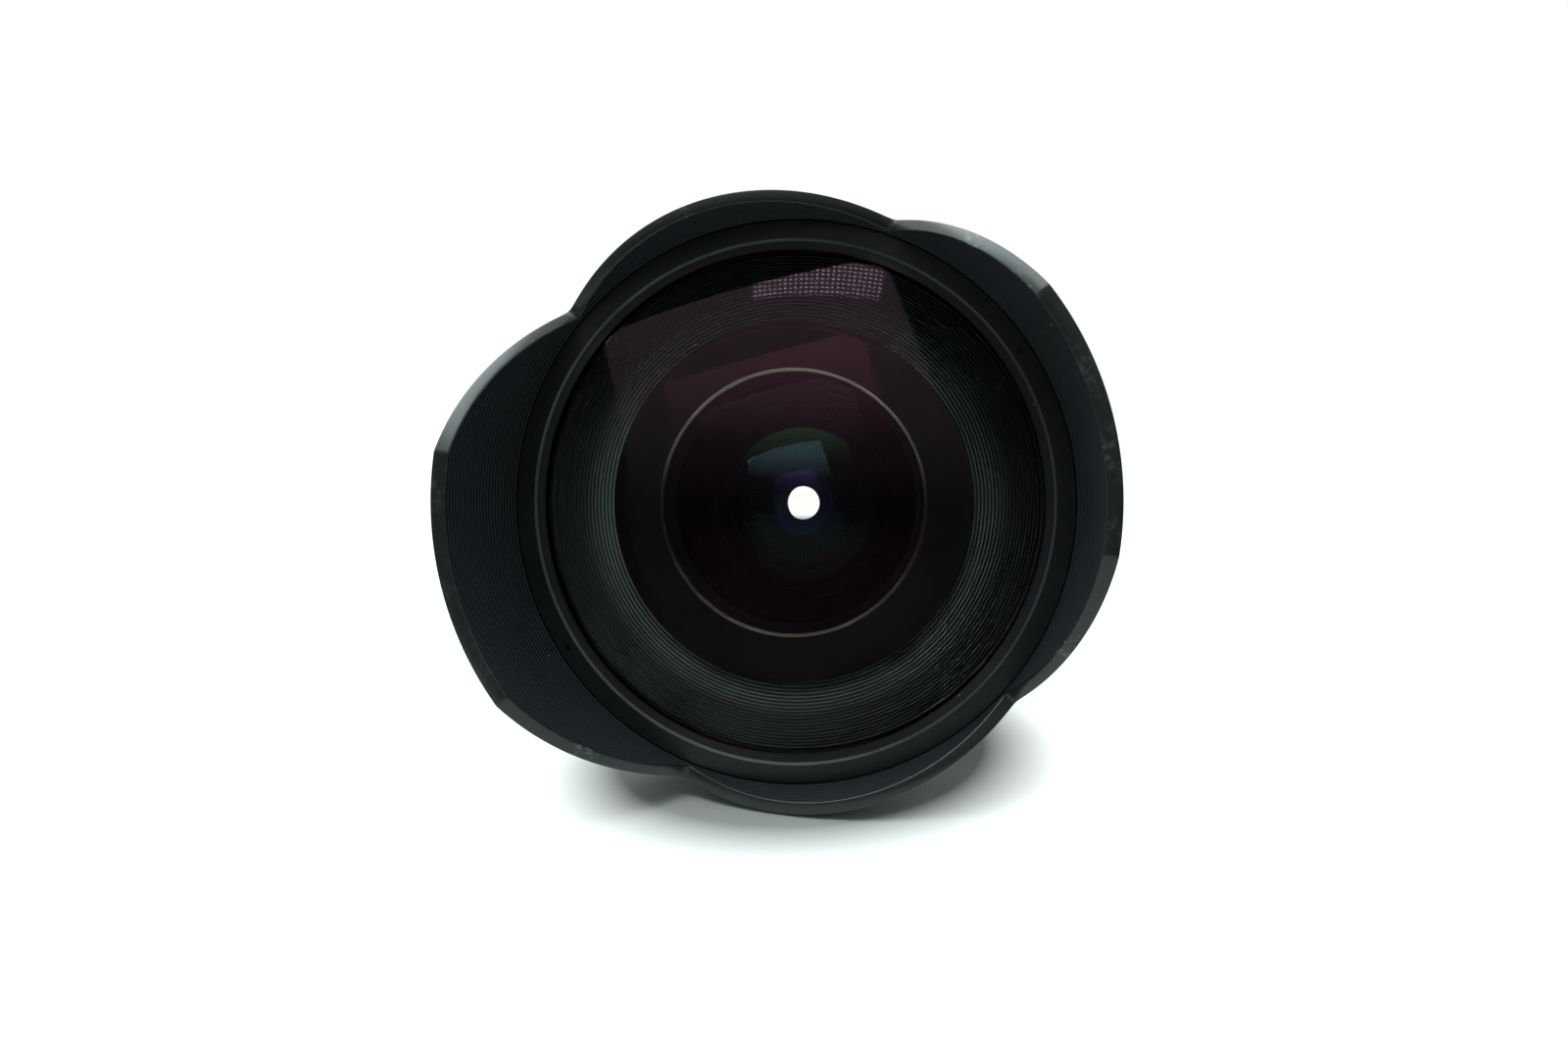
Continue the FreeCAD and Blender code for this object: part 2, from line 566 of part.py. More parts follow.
def cam_slot(name, start):
    """Helical slot: it climbs by the focus travel over the ring's turn, with round-off room."""
    inner, outer = float(d.barrel_radius) - over, float(sleeve_radius) + over
    half = float(d.pin_radius + d.pin_gap)
    margin = math.degrees(half / float(d.barrel_radius))
    pitch = float(d.focus_travel) * 360.0 / float(d.focus_turn_angle)
    sweep = float(d.focus_turn_angle) + 2 * margin
    rise = pitch * sweep / 360.0
    low = float(focus_rear + d.pin_height) - pitch * margin / 360.0 - half
    edges = {}
    for side, radius in (("in", inner), ("out", outer)):
        for level in (0, 1):
            edge = Part.makeHelix(pitch, rise, radius)
            edge.translate(FreeCAD.Vector(0, 0, low + level * 2 * half))
            edges[side, level] = edge.Edges[0]
    faces = [Part.makeRuledSurface(edges["in", 0], edges["out", 0]),
             Part.makeRuledSurface(edges["in", 1], edges["out", 1]),
             Part.makeRuledSurface(edges["in", 0], edges["in", 1]),
             Part.makeRuledSurface(edges["out", 0], edges["out", 1])]
    for last in (False, True):
        corner = {}
        for key, edge in edges.items():
            corner[key] = edge.valueAt(edge.LastParameter if last else edge.FirstParameter)
        ring = [corner["in", 0], corner["out", 0], corner["out", 1], corner["in", 1]]
        faces.append(Part.Face(Part.makePolygon(ring + ring[:1])))
    shell = Part.makeShell(faces)
    shell.sewShape()
    solid = Part.Solid(Part.Shell(shell.Faces))
    if solid.Volume < 0:
        solid.reverse()
    thing = doc.addObject("Part::Feature", name)
    thing.Shape = solid
    thing.Placement = turn(float(start) - margin)
    return thing


def focus_drive():
    """Cam sleeve, focus ring with its rubber, the key that joins them, and the end stop."""
    bore = d.barrel_radius + d.sleeve_bore_gap
    blank = tube("sleeve_blank", bore, sleeve_radius, sleeve_rear, sleeve_front)
    tools = [cam_slot("cam_slot_%d" % i, angle)
             for i, angle in enumerate(spaced(d.pin_count, d.pin_angle))]
    half = d.pin_radius + d.pin_gap
    level = focus_front - d.stop_back
    margin = math.degrees(float(half) / float(d.barrel_radius))
    tools.append(tube("stop_slot", d.barrel_radius - over, sleeve_radius + over, level - half,
                      level + half, float(d.stop_angle) - margin, d.focus_turn_angle + 2 * margin))
    key_level = focus_front - d.key_back - d.key_length / 2
    key_place = axial(d.key_angle, sleeve_radius - d.key_depth, key_level)
    key = block("key_seat", 2 * d.key_depth, d.key_width, d.key_length, key_place)
    node("focus_cam_sleeve", cut("focus_cam_sleeve", blank, tools + [key]))
    scale_front = focus_rear + d.scale_length
    grip_front = focus_front - d.grip_end
    ring = turned("focus_blank", [
        (sleeve_radius, focus_rear), (focus_radius, focus_rear),
        (focus_radius, scale_front), (focus_seat, scale_front),
        (focus_seat, grip_front), (focus_radius, grip_front),
        (focus_radius, focus_front), (sleeve_radius, focus_front)])
    node("focus_ring", cut("focus_ring", ring, [key]))
    node("focus_drive_key", block("focus_drive_key", 2 * d.key_depth, d.key_width,
                                  d.key_length, key_place))
    rubber = tube("grip_blank", focus_seat, grip_radius, scale_front, grip_front)
    length = grip_front - scale_front - 2 * d.grip_margin
    grooves = [block("grip_groove_%d" % i, d.rib_depth + over, d.grip_rib_gap, length,
                     axial(angle, grip_radius - d.rib_depth, scale_front + d.grip_margin))
               for i, angle in enumerate(spaced(d.grip_ribs))]
    node("focus_grip", cut("focus_grip", rubber, grooves))
    node("focus_stop", stop_pin("focus_stop"))


def hood_screw_tools(name):
    inner = front_cell_bore
    outer = hood_root_radius - d.hood_screw_drop
    return [cylinder("%s_%d" % (name, i), d.hood_screw_radius, outer - inner,
                     radial(angle, inner, d.hood_screw_level))
            for i, angle in enumerate(spaced(d.hood_screw_count))]


def front_shell():
    """Front barrel with its spigot, the trim ring let into it, and the hood on the spigot."""
    low = shell_rear + d.accent_rear
    slope = (hood_root_radius - shell_radius) / d.shell_length
    at_low = shell_radius + slope * d.accent_rear
    at_high = at_low + slope * d.accent_width
    bore = d.barrel_radius
    blank = turned("front_barrel_blank", [
        (bore, shell_rear), (shell_radius, shell_rear), (at_low, low),
        (at_low - d.accent_depth, low), (at_low - d.accent_depth, low + d.accent_width),
        (at_high, low + d.accent_width), (hood_root_radius, shell_front),
        (spigot_front_radius, shell_front), (spigot_front_radius, cell_seat),
        (front_cell_bore, cell_seat), (front_cell_bore, second_top), (bore, second_top)])
    node("front_barrel", cut("front_barrel", blank, hood_screw_tools("spigot_hole")))
    node("accent_ring", turned("accent_ring", [
        (at_low - d.accent_depth, low), (at_low, low), (at_high, low + d.accent_width),
        (at_low - d.accent_depth, low + d.accent_width)]))
    body = turned("hood_blank", [
        (spigot_front_radius, shell_front), (hood_root_radius, shell_front),
        (d.hood_tip_radius, d.lens_length),
        (d.hood_tip_radius - d.hood_wall_tip, d.lens_length),
        (hood_root_radius - d.hood_wall_root, d.ring_front),
        (ring_outer, ring_rear), (spigot_front_radius, ring_rear)])
    node("petal_hood", cut("petal_hood", body, [petal_tool()] + hood_screw_tools("hood_hole")))
    node("hood_screws", group("hood_screws", hood_screw_tools("hood_screw")))


def bowed(sketch, start, end, radius):
    """Arc that bows to the left on its way from start to end, by a minus to the right."""
    chord = end - start
    half = chord.Length / 2
    bow = math.copysign(abs(radius) - math.sqrt(radius * radius - half * half), radius)
    side = FreeCAD.Vector(-chord.y, chord.x, 0).normalize()
    return sketch.addGeometry(Part.Arc(start, (start + end) / 2 + side * bow, end))


def petal_tool():
    """What is cut away across the hood: two bowed sides, an arch and round notches."""
    body = doc.addObject("PartDesign::Body", "petal_tool")
    sketch = new_sketch(body, "XZ_Plane")
    notch, level, apex = (float(d.notch_half_width), float(d.notch_level),
                          float(d.short_petal))
    top = d.lens_length + over
    corners = [(-d.tip_half_width, top), (-d.tip_half_width, d.lens_length),
               (-d.notch_half_width, d.notch_level), (d.notch_half_width, d.notch_level),
               (d.tip_half_width, d.lens_length), (d.tip_half_width, top)]
    spots = [FreeCAD.Vector(float(a), float(b), 0) for a, b in corners]
    left = sketch.addGeometry(Part.LineSegment(spots[0], spots[1]))
    left_side = bowed(sketch, spots[2], spots[1], -float(d.side_curve))
    arch = sketch.addGeometry(Part.Arc(spots[3], FreeCAD.Vector(0, apex, 0), spots[2]))
    right_side = bowed(sketch, spots[3], spots[4], float(d.side_curve))
    right = sketch.addGeometry(Part.LineSegment(spots[4], spots[5]))
    lid = sketch.addGeometry(Part.LineSegment(spots[5], spots[0]))
    ends = {}
    for index in (left_side, arch, right_side):
        for end in (1, 2):
            point = sketch.getPoint(index, end)
            ends[index, round(point.x, 3), round(point.y, 3)] = end

    def end_at(index, spot):
        return ends[index, round(spots[spot].x, 3), round(spots[spot].y, 3)]

    for first, second in (((left, 2), (left_side, end_at(left_side, 1))),
                          ((left_side, end_at(left_side, 2)), (arch, end_at(arch, 2))),
                          ((arch, end_at(arch, 3)), (right_side, end_at(right_side, 3))),
                          ((right_side, end_at(right_side, 4)), (right, 1)),
                          ((right, 2), (lid, 1)), ((lid, 2), (left, 1))):
        sketch.addConstraint(Sketcher.Constraint("Coincident", *first, *second))
    for index, end, spot in ((left, 1, 0), (left, 2, 1), (right, 1, 4), (right, 2, 5),
                             (arch, end_at(arch, 2), 2), (arch, end_at(arch, 3), 3)):
        pin_point(sketch, index, end, corners[spot][0], corners[spot][1])
    rise = d.short_petal - d.notch_level
    radius = (d.notch_half_width * d.notch_half_width + rise * rise) / (2 * rise)
    for index, size in ((arch, radius), (left_side, d.side_curve), (right_side, d.side_curve)):
        held = sketch.addConstraint(Sketcher.Constraint("Radius", index, float(size)))
        bind(sketch, "Constraints[%d]" % held, size)
    pad = body.newObject("PartDesign::Pad", "petal_pad")
    pad.Profile = sketch
    bind(pad, "Length", 4 * d.hood_tip_radius)
    pad.SideType = "Symmetric"
    doc.recompute()
    edges = []
    for i, edge in enumerate(pad.Shape.Edges, start=1):
        ends = [vertex.Point for vertex in edge.Vertexes]
        if len(ends) == 2 and all(abs(abs(p.x) - notch) < 0.01 and abs(p.z - level) < 0.01
                                  for p in ends) and ends[0].y * ends[1].y < 0:
            if ends[0].x * ends[1].x > 0:
                edges.append("Edge%d" % i)
    rounds = body.newObject("PartDesign::Fillet", "notch_rounds")
    rounds.Base = (pad, edges)
    bind(rounds, "Radius", d.notch_round)
    return body


def front_cell():
    """Cup of the front element with its seal, retaining ring and ribbed light baffle."""
    edge, outer = glass_1_edge, baffle_outer
    seat = surface(d.glass_1_rear, d.curve_1_rear, d.glass_1_open)
    node("front_cell", turned("front_cell", [
        (outer, second_top), (front_cell_bore, second_top),
        (front_cell_bore, cell_seat), (spigot_front_radius, cell_seat),
        (spigot_front_radius, ring_rear), (ring_inner, ring_rear), (ring_inner, seat),
        (outer, seat)]))
    node("front_seal", tube("front_seal", edge, ring_inner, seat, d.ring_front - d.seal_drop))
    blank = turned("ring_blank", [
        (ring_inner, ring_rear), (ring_outer, ring_rear), (ring_outer, d.ring_front),
        (ring_inner + d.bevel, d.ring_front), (ring_inner, d.ring_front - d.bevel)])
    middle = (ring_inner + d.bevel + ring_outer) / 2
    holes = [cylinder("spanner_%d" % i, d.spanner_radius, d.spanner_depth + tiny,
                      axial(angle, middle, d.ring_front - d.spanner_depth))
             for i, angle in enumerate(spaced(2, d.spanner_angle))]
    node("front_retaining_ring", cut("front_retaining_ring", blank, holes))
    top = seat - d.rib_top_gap
    low = second_top + d.rib_low
    count = int(round(float(d.rib_count)))
    step = (outer - rib_inner) / count
    climb = (top - low) / count
    points = [(rib_inner, second_top), (outer, second_top), (outer, top)]
    for i in range(count):
        points.append((outer - step * (i + 0.75), top - climb * (i + 0.25) - d.rib_height))
        points.append((outer - step * (i + 1), top - climb * (i + 1)))
    node("ribbed_baffle", turned("ribbed_baffle", points))


def cell_screws(name):
    head_low = second_top - d.cell_screw_radius
    result = []
    for i, angle in enumerate(spaced(d.cell_screw_count, d.cell_screw_angle)):
        head = cylinder("%s_cell_head_%d" % (name, i), d.cell_screw_head, d.cell_screw_radius,
                        axial(angle, cell_screw_circle, head_low))
        stem = cylinder("%s_cell_stem_%d" % (name, i), d.cell_screw_radius,
                        d.cell_screw_length,
                        axial(angle, cell_screw_circle, head_low - d.cell_screw_length))
        result.append(fused("%s_cell_screw_%d" % (name, i), [head, stem]))
    return result


def second_cell():
    """Cell of the second and third elements, screwed on the barrel's front end."""
    seat_2 = surface(d.glass_2_rear, d.curve_2_rear, d.glass_2_open)
    edge_2 = surface(d.glass_2_front, d.curve_2_front, glass_2_edge)
    seat_3 = surface(d.glass_3_front, d.curve_3_front, d.third_lip)
    rear_3 = surface(d.glass_3_rear, d.curve_3_rear, d.glass_3_open)
    blank = turned("second_blank", [
        (d.glass_3_edge, d.second_rear), (d.second_neck, d.second_rear),
        (d.second_neck, d.second_rear + d.neck_rise), (second_radius, seat_2),
        (second_radius, d.barrel_front), (d.barrel_radius, d.barrel_front),
        (d.barrel_radius, second_top), (second_radius, second_top),
        (second_radius, second_front), (second_ring_bore, second_front),
        (second_ring_bore, edge_2), (glass_2_edge, edge_2), (glass_2_edge, seat_2),
        (d.third_lip, seat_2), (d.third_lip, seat_3), (d.glass_3_edge, seat_3)])
    node("second_cell", cut("second_cell", blank, cell_screws("flange")))
    node("cell_screws", group("cell_screws", cell_screws("front")))
    ring_2 = surface(d.glass_2_front, d.curve_2_front, second_ring_inner)
    node("second_retaining_ring", turned("second_retaining_ring", [
        (second_ring_inner, ring_2), (second_ring_bore, ring_2),
        (second_ring_bore, second_front), (second_ring_inner + 2 * d.bevel,
                                               second_front),
        (second_ring_inner, second_front - d.bevel)]))
    node("third_retaining_ring", tube("third_retaining_ring", d.third_ring_inner,
                                      d.glass_3_edge, d.second_rear, rear_3))


def middle_cell():
    """Cell of two cemented pairs ahead of the diaphragm, locked on the barrel's ledge."""
    flange_outer = barrel_bore - d.middle_flange_gap
    rear_4 = surface(d.glass_5_rear, d.curve_5_rear, d.glass_4_edge)
    lip_front = surface(d.glass_6_front, d.curve_6_front, d.middle_lip)
    rear_7 = surface(d.glass_7_rear, d.curve_7_rear, d.front_bore)
    flange_front = ledge_front + d.middle_flange
    node("middle_cell", turned("middle_cell", [
        (d.front_bore, d.plate_front), (d.middle_radius, d.plate_front),
        (d.middle_radius, ledge_front), (flange_outer, ledge_front),
        (flange_outer, flange_front), (d.middle_radius, flange_front),
        (d.middle_radius, d.middle_front), (d.glass_4_edge, d.middle_front),
        (d.glass_4_edge, rear_4), (d.middle_lip, rear_4), (d.middle_lip, lip_front),
        (d.front_bore, lip_front)]))
    node("middle_lock_ring", tube("middle_lock_ring", lock_inner, barrel_bore,
                                  flange_front, flange_front + d.lock_thick))
    ring_4 = surface(d.glass_4_front, d.curve_4_front, d.middle_ring_inner)
    node("middle_front_ring", tube("middle_front_ring", d.middle_ring_inner, d.glass_4_edge,
                                   ring_4, d.middle_front))
    node("middle_rear_ring", tube("middle_rear_ring", d.middle_lip, d.front_bore,
                                  rear_7 - d.middle_rear_thick, rear_7))


def diaphragm():
    """Fixed housing, rotor with cam slots, snap ring and six blades on their own levels."""
    plate_rear = d.plate_front - d.plate_thick
    snap_front = d.snap_rear + d.snap_thick
    groove = d.housing_bore + d.snap_depth
    blank = turned("housing_blank", [
        (d.stop_radius, plate_rear), (d.housing_bore, plate_rear),
        (d.housing_bore, snap_front + d.snap_gap), (groove, snap_front + d.snap_gap),
        (groove, d.snap_rear - d.snap_gap), (d.housing_bore, d.snap_rear - d.snap_gap),
        (d.housing_bore, d.housing_rear), (d.housing_radius, d.housing_rear),
        (d.housing_radius, d.plate_front), (d.stop_radius, d.plate_front)])
    count = d.blade_count
    holes = [cylinder("pivot_hole_%d" % i, d.pivot_radius + d.pivot_gap,
                      d.plate_thick + 2 * tiny,
                      axial(angle, d.pivot_circle, plate_rear - tiny))
             for i, angle in enumerate(spaced(count))]
    node("diaphragm_housing", cut("diaphragm_housing", blank, holes))
    node("rotor_snap_ring", tube("rotor_snap_ring", d.snap_inner, groove, d.snap_rear,
                                 snap_front))
    disc = tube("rotor_blank", d.rotor_bore, d.housing_bore - d.rotor_gap, d.rotor_rear,
                d.rotor_rear + d.rotor_thick)
    slots = []
    for i, angle in enumerate(spaced(count)):
        slots += cam_arc("blade_slot_%d" % i, angle)
    slotted = cut("rotor_slotted", disc, slots)
    peg = cylinder("rotor_peg", d.peg_radius, d.rotor_rear + d.rotor_thick / 2 - d.peg_rear,
                   axial(d.link_rest_angle, d.peg_circle, d.peg_rear))
    node("diaphragm_rotor", fused("diaphragm_rotor", [slotted, peg]))
    for i, angle in enumerate(spaced(count)):
        blade(i, angle)


def drive_pin(turned_by):
    """Where a blade's drive pin stands, seen from the rotor, after a turn of the rotor."""
    pivot = complex(float(d.pivot_circle), 0)
    away = math.radians(-float(d.drive_angle))
    pin = float(d.pivot_circle) * complex(math.cos(away), math.sin(away)) - pivot
    ratio = float(d.blade_turn_angle) / float(d.stop_count * d.stop_pitch_angle)
    swing = math.radians(ratio * turned_by)
    back = math.radians(-turned_by)
    place = pivot + pin * complex(math.cos(swing), math.sin(swing))
    return place * complex(math.cos(back), math.sin(back))


def cam_arc(name, start):
    """Arc slot of the rotor through the drive pin's first, middle and last place."""
    full = float(d.stop_count * d.stop_pitch_angle)
    spots = [drive_pin(full * part) for part in (0.0, 0.5, 1.0)]
    points = [FreeCAD.Vector(spot.real, spot.imag, 0) for spot in spots]
    circle = Part.Arc(points[0], points[1], points[2]).toShape().Curve
    centre, radius = circle.Center, circle.Radius
    angles = [math.degrees(math.atan2(p.y - centre.y, p.x - centre.x)) for p in points]
    first, last = min(angles[0], angles[2]), max(angles[0], angles[2])
    half = float(d.drive_radius + d.drive_gap)
    low = float(d.rotor_rear) - tiny
    thick = float(d.rotor_thick) + 2 * tiny
    tools = []
    for label, reach in (("outer", radius + half), ("inner", radius - half)):
        wedge = doc.addObject("Part::Cylinder", name + "_" + label)
        wedge.Radius = reach
        wedge.Height = thick
        wedge.Angle = last - first
        wedge.Placement = turn(start).multiply(FreeCAD.Placement(
            FreeCAD.Vector(centre.x, centre.y, low), FreeCAD.Rotation(UP, first)))
        tools.append(wedge)
    band = doc.addObject("Part::Cut", name + "_band")
    band.Base, band.Tool = tools
    ends = [cylinder(name + "_end_%d" % i, d.drive_radius + d.drive_gap,
                     d.rotor_thick + 2 * tiny, turn(start).multiply(FreeCAD.Placement(
                         FreeCAD.Vector(point.x, point.y, low), FreeCAD.Rotation())))
            for i, point in enumerate((points[0], points[2]))]
    return [band] + ends


def blade(i, angle):
    low = d.blade_first + d.blade_pitch * i
    high = low + d.blade_thick
    name = "blade_%d" % (i + 1)
    band = tube(name + "_band", d.blade_inner, d.blade_outer, low, high,
                angle - float(d.blade_back_angle), d.blade_sweep_angle)
    ear = tube(name + "_ear", d.blade_outer - d.ear_root, d.ear_outer, low, high,
               angle - float(d.ear_back_angle), d.ear_sweep_angle)
    pivot = cylinder(name + "_pivot", d.pivot_radius, d.plate_front - d.pivot_end - low,
                     axial(angle, d.pivot_circle, low))
    pin_low = d.rotor_rear + d.drive_end
    pin = cylinder(name + "_pin", d.drive_radius, high - pin_low,
                   axial(angle - float(d.drive_angle), d.pivot_circle, pin_low))
    node(name, fused(name, [band, ear, pivot, pin]))


def focus_cell():
    """Sliding cell of the rear groups: a lens tube, a spider and a long guide ring."""
    outer, inner = guide_outer, guide_inner
    web_rear = d.web_front - d.web_thick
    spider_front = d.spider_rear + d.spider_thick
    blank = turned("focus_cell_blank", [
        (d.front_bore, d.focus_cell_front), (d.front_bore, d.web_front),
        (d.web_bore, d.web_front), (d.web_bore, web_rear), (d.rear_bore, web_rear),
        (d.rear_bore, d.focus_cell_rear), (d.focus_tube_radius, d.focus_cell_rear),
        (d.focus_tube_radius, d.spider_rear), (outer, d.spider_rear),
        (outer, d.spider_rear + d.guide_length), (inner, d.spider_rear + d.guide_length),
        (inner, spider_front), (d.focus_tube_radius, spider_front),
        (d.focus_tube_radius, d.focus_cell_front)])
    tools = []
    between = 180.0 / float(d.pin_count)
    for i, angle in enumerate(spaced(d.pin_count, d.pin_angle)):
        tools.append(tube("spider_window_%d" % i, d.spider_window_inner, spider_window_outer,
                          d.spider_rear - tiny, spider_front + tiny,
                          angle + between - float(d.spider_window_angle) / 2,
                          d.spider_window_angle))
    node("focus_cell", cut("focus_cell", blank, tools + guide_pins("pin_hole")))
    node("guide_pins", group("guide_pins", guide_pins("guide_pin")))
    ring = surface(d.glass_8_front, d.curve_8_front, d.focus_ring_inner)
    node("focus_front_ring", tube("focus_front_ring", d.focus_ring_inner, d.front_bore, ring,
                                  d.focus_cell_front - d.focus_ring_drop))
    spacers = [
        tube("spacer_1", d.web_bore, d.front_bore,
             surface(d.glass_10_front, d.curve_10_front, d.web_bore),
             surface(d.glass_9_rear, d.curve_9_rear, d.front_bore)),
        tube("spacer_2", d.spacer_inner, d.rear_bore,
             surface(d.glass_13_front, d.curve_13_front, d.spacer_inner),
             surface(d.glass_12_rear, -d.curve_12_rear, d.spacer_inner)),
        tube("spacer_3", d.spacer_inner, d.rear_bore,
             surface(d.glass_14_front, d.curve_14_front, d.spacer_inner),
             surface(d.glass_13_rear, d.curve_13_rear, d.rear_bore))]
    node("focus_spacers", group("focus_spacers", spacers))
    rear = surface(d.glass_14_rear, -d.curve_14_rear, d.spacer_inner)
    node("rear_retaining_ring", tube("rear_retaining_ring", d.spacer_inner, d.rear_bore,
                                     d.focus_cell_rear, rear))


def guide_pins(name):
    inner = guide_inner
    return [cylinder("%s_%d" % (name, i), d.pin_radius, sleeve_radius - d.pin_end - inner,
                     radial(angle, inner, focus_rear + d.pin_height))
            for i, angle in enumerate(spaced(d.pin_count, d.pin_angle))]


def elements():
    """Fourteen ground elements in ten groups; cemented pairs share one surface."""
    glass("element_01", glass_1_edge, d.glass_1_front, d.curve_1_front, d.glass_1_rear,
          d.curve_1_rear, d.glass_1_open)
    glass("element_02", glass_2_edge, d.glass_2_front, d.curve_2_front, d.glass_2_rear,
          d.curve_2_rear, d.glass_2_open)
    glass("element_03", d.glass_3_edge, d.glass_3_front, d.curve_3_front, d.glass_3_rear,
          d.curve_3_rear, d.glass_3_open)
    glass("element_04", d.glass_4_edge, d.glass_4_front, d.curve_4_front, d.glass_4_rear,
          -d.curve_4_rear)
    glass("element_05", d.glass_4_edge, d.glass_4_rear, -d.curve_4_rear, d.glass_5_rear,
          d.curve_5_rear)
    glass("element_06", d.front_bore, d.glass_6_front, d.curve_6_front, d.glass_6_rear,
          -d.curve_6_rear)
    glass("element_07", d.front_bore, d.glass_6_rear, -d.curve_6_rear, d.glass_7_rear,
          d.curve_7_rear)
    glass("element_08", d.front_bore, d.glass_8_front, d.curve_8_front, d.glass_8_rear,
          -d.curve_8_rear)
    glass("element_09", d.front_bore, d.glass_8_rear, -d.curve_8_rear, d.glass_9_rear,
          d.curve_9_rear)
    rear_10 = d.web_front + d.curve_10_rear - root(
        d.curve_10_rear * d.curve_10_rear - d.front_bore * d.front_bore)
    glass("element_10", d.front_bore, d.glass_10_front, d.curve_10_front, rear_10,
          d.curve_10_rear)
    front_11 = d.web_front - d.web_thick - d.curve_11_front + root(
        d.curve_11_front * d.curve_11_front - d.rear_bore * d.rear_bore)
    glass("element_11", d.rear_bore, front_11, -d.curve_11_front, d.glass_11_rear,
          d.curve_11_rear)
    glass("element_12", d.rear_bore, d.glass_11_rear, d.curve_11_rear, d.glass_12_rear,
          -d.curve_12_rear)
    glass("element_13", d.rear_bore, d.glass_13_front, d.curve_13_front, d.glass_13_rear,
          d.curve_13_rear)
    glass("element_14", d.rear_bore, d.glass_14_front, d.curve_14_front, d.glass_14_rear,
          -d.curve_14_rear)


main_barrel(mount())
aperture_ring(click_spring())
aperture_link()
index_collar()
focus_drive()
front_shell()
front_cell()
second_cell()
middle_cell()
diaphragm()
focus_cell()
elements()
doc.recompute()

for thing in doc.Objects:
    if "Invalid" in thing.State or "Error" in thing.State:
        raise RuntimeError("not built: %s %s" % (thing.Name, thing.State))
os.makedirs("parts", exist_ok=True)
for thing in nodes:
    if thing.Shape.isNull() or not thing.Shape.isValid() or not thing.Shape.Solids:
        raise RuntimeError("no sound solid: " + thing.Label)
for thing in nodes:
    thing.Shape.exportStep("parts/%s.step" % thing.Label)
print(len(nodes), "sub-parts written")
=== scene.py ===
import math

import bmesh
import bpy
from mathutils import Matrix, Vector

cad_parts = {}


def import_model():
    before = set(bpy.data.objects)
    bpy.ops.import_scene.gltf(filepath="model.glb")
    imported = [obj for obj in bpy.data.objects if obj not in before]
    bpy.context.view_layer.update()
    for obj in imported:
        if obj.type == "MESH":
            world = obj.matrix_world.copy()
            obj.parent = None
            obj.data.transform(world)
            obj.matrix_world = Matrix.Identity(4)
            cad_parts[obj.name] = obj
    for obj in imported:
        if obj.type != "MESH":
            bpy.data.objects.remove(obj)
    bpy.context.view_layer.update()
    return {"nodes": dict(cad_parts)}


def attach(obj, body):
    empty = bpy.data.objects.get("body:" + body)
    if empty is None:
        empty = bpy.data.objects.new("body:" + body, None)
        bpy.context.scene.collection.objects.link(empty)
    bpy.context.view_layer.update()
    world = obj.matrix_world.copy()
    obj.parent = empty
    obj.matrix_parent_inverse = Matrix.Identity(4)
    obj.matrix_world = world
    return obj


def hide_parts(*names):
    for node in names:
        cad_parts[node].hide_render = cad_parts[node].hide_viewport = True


# An ultra-wide lens with a petal hood, seen from the front on a white floor.
# Lengths are millimetres of the lens's own frame until they are placed: local z runs along the
# optical axis from the mount's face to the front, and local x is the top of a landscape picture.

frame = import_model()
NODES = frame["nodes"]
MM = 0.001
ROLL = math.radians(14.0)
LENS = Matrix.Rotation(math.radians(90.0), 4, "X") @ Matrix.Rotation(ROLL, 4, "Z")
SEGMENTS, FINE_SEGMENTS = 256, 320

# Hood: a cone outside, a flared bore inside, and an edge of short arches and long petals
HOOD_ROOT_LEVEL, HOOD_TIP_LEVEL = 62.2, 94.0
HOOD_ROOT_RADIUS, HOOD_TIP_RADIUS, HOOD_ROOT_BORE = 41.9, 43.5, 40.0
INSIDE_ROOT, INSIDE_TIP, INSIDE_CURVE = 40.35, 41.45, 2.5
TIP_HALF, NOTCH_HALF, NOTCH_LEVEL, SHORT_PETAL = 40.1, 24.3, 71.05, 79.25
NOTCH_ROUND, SIDE_CURVE = 1.5, 139.0
RING_FRONT, RING_REAR = 70.5, 69.3
HOOD_COLUMNS = 1024

# Points of the hood's outline: root, shares of the height outside, and the rim's two edges
OUTSIDE_ROWS = [share / 8.0 for share in range(8)] + [0.985, 1.0]
RIM_EASE, RIM_ROUND, RIM_TURNS = 0.16, 0.25, (90.0, 60.0, 30.0)
ROOT_POINTS, EASE_POINTS = 3, 2
RIM_END = ROOT_POINTS + len(OUTSIDE_ROWS) + EASE_POINTS + len(RIM_TURNS)

# Grooves inside the hood: pitch, depth, and where land and floor end within one pitch
GROOVE_PITCH, GROOVE_DEPTH = 1.0, 0.2
LAND_END, FLOOR_START, FLOOR_END = 0.30, 0.42, 0.88

# Marks worn into the rim: angle seen from the front, width in degrees, strength
SCUFFS = [(137.0, 2.5, 0.5), (146.0, 1.6, 0.5), (52.0, 1.8, 1.0), (108.5, 0.9, 0.5),
          (178.0, 4.0, 0.22), (194.0, 5.0, 0.2), (208.0, 4.0, 0.22), (232.5, 1.6, 0.9),
          (333.5, 2.0, 0.8), (8.0, 4.0, 0.5), (22.0, 4.0, 0.4), (40.0, 3.0, 0.3),
          (355.0, 3.0, 0.3), (280.0, 2.0, 0.15), (71.0, 1.0, 0.3)]
SCUFF_REACH, SCUFF_FLOOR = 1.2, 0.015

# Light baffle behind the front glass
RIB_OUTER, RIB_INNER, RIB_TOP, RIB_LOW, RIB_BASE = 35.4, 25.0, 65.43, 62.2, 61.5
RIB_COUNT, RIB_HEIGHT = 21, 0.45
# Between these distances from the axis the rib paint turns darker: painted shade.
RIB_PAINTED_SHADE_START, RIB_PAINTED_SHADE_END = 0.0245, 0.0302

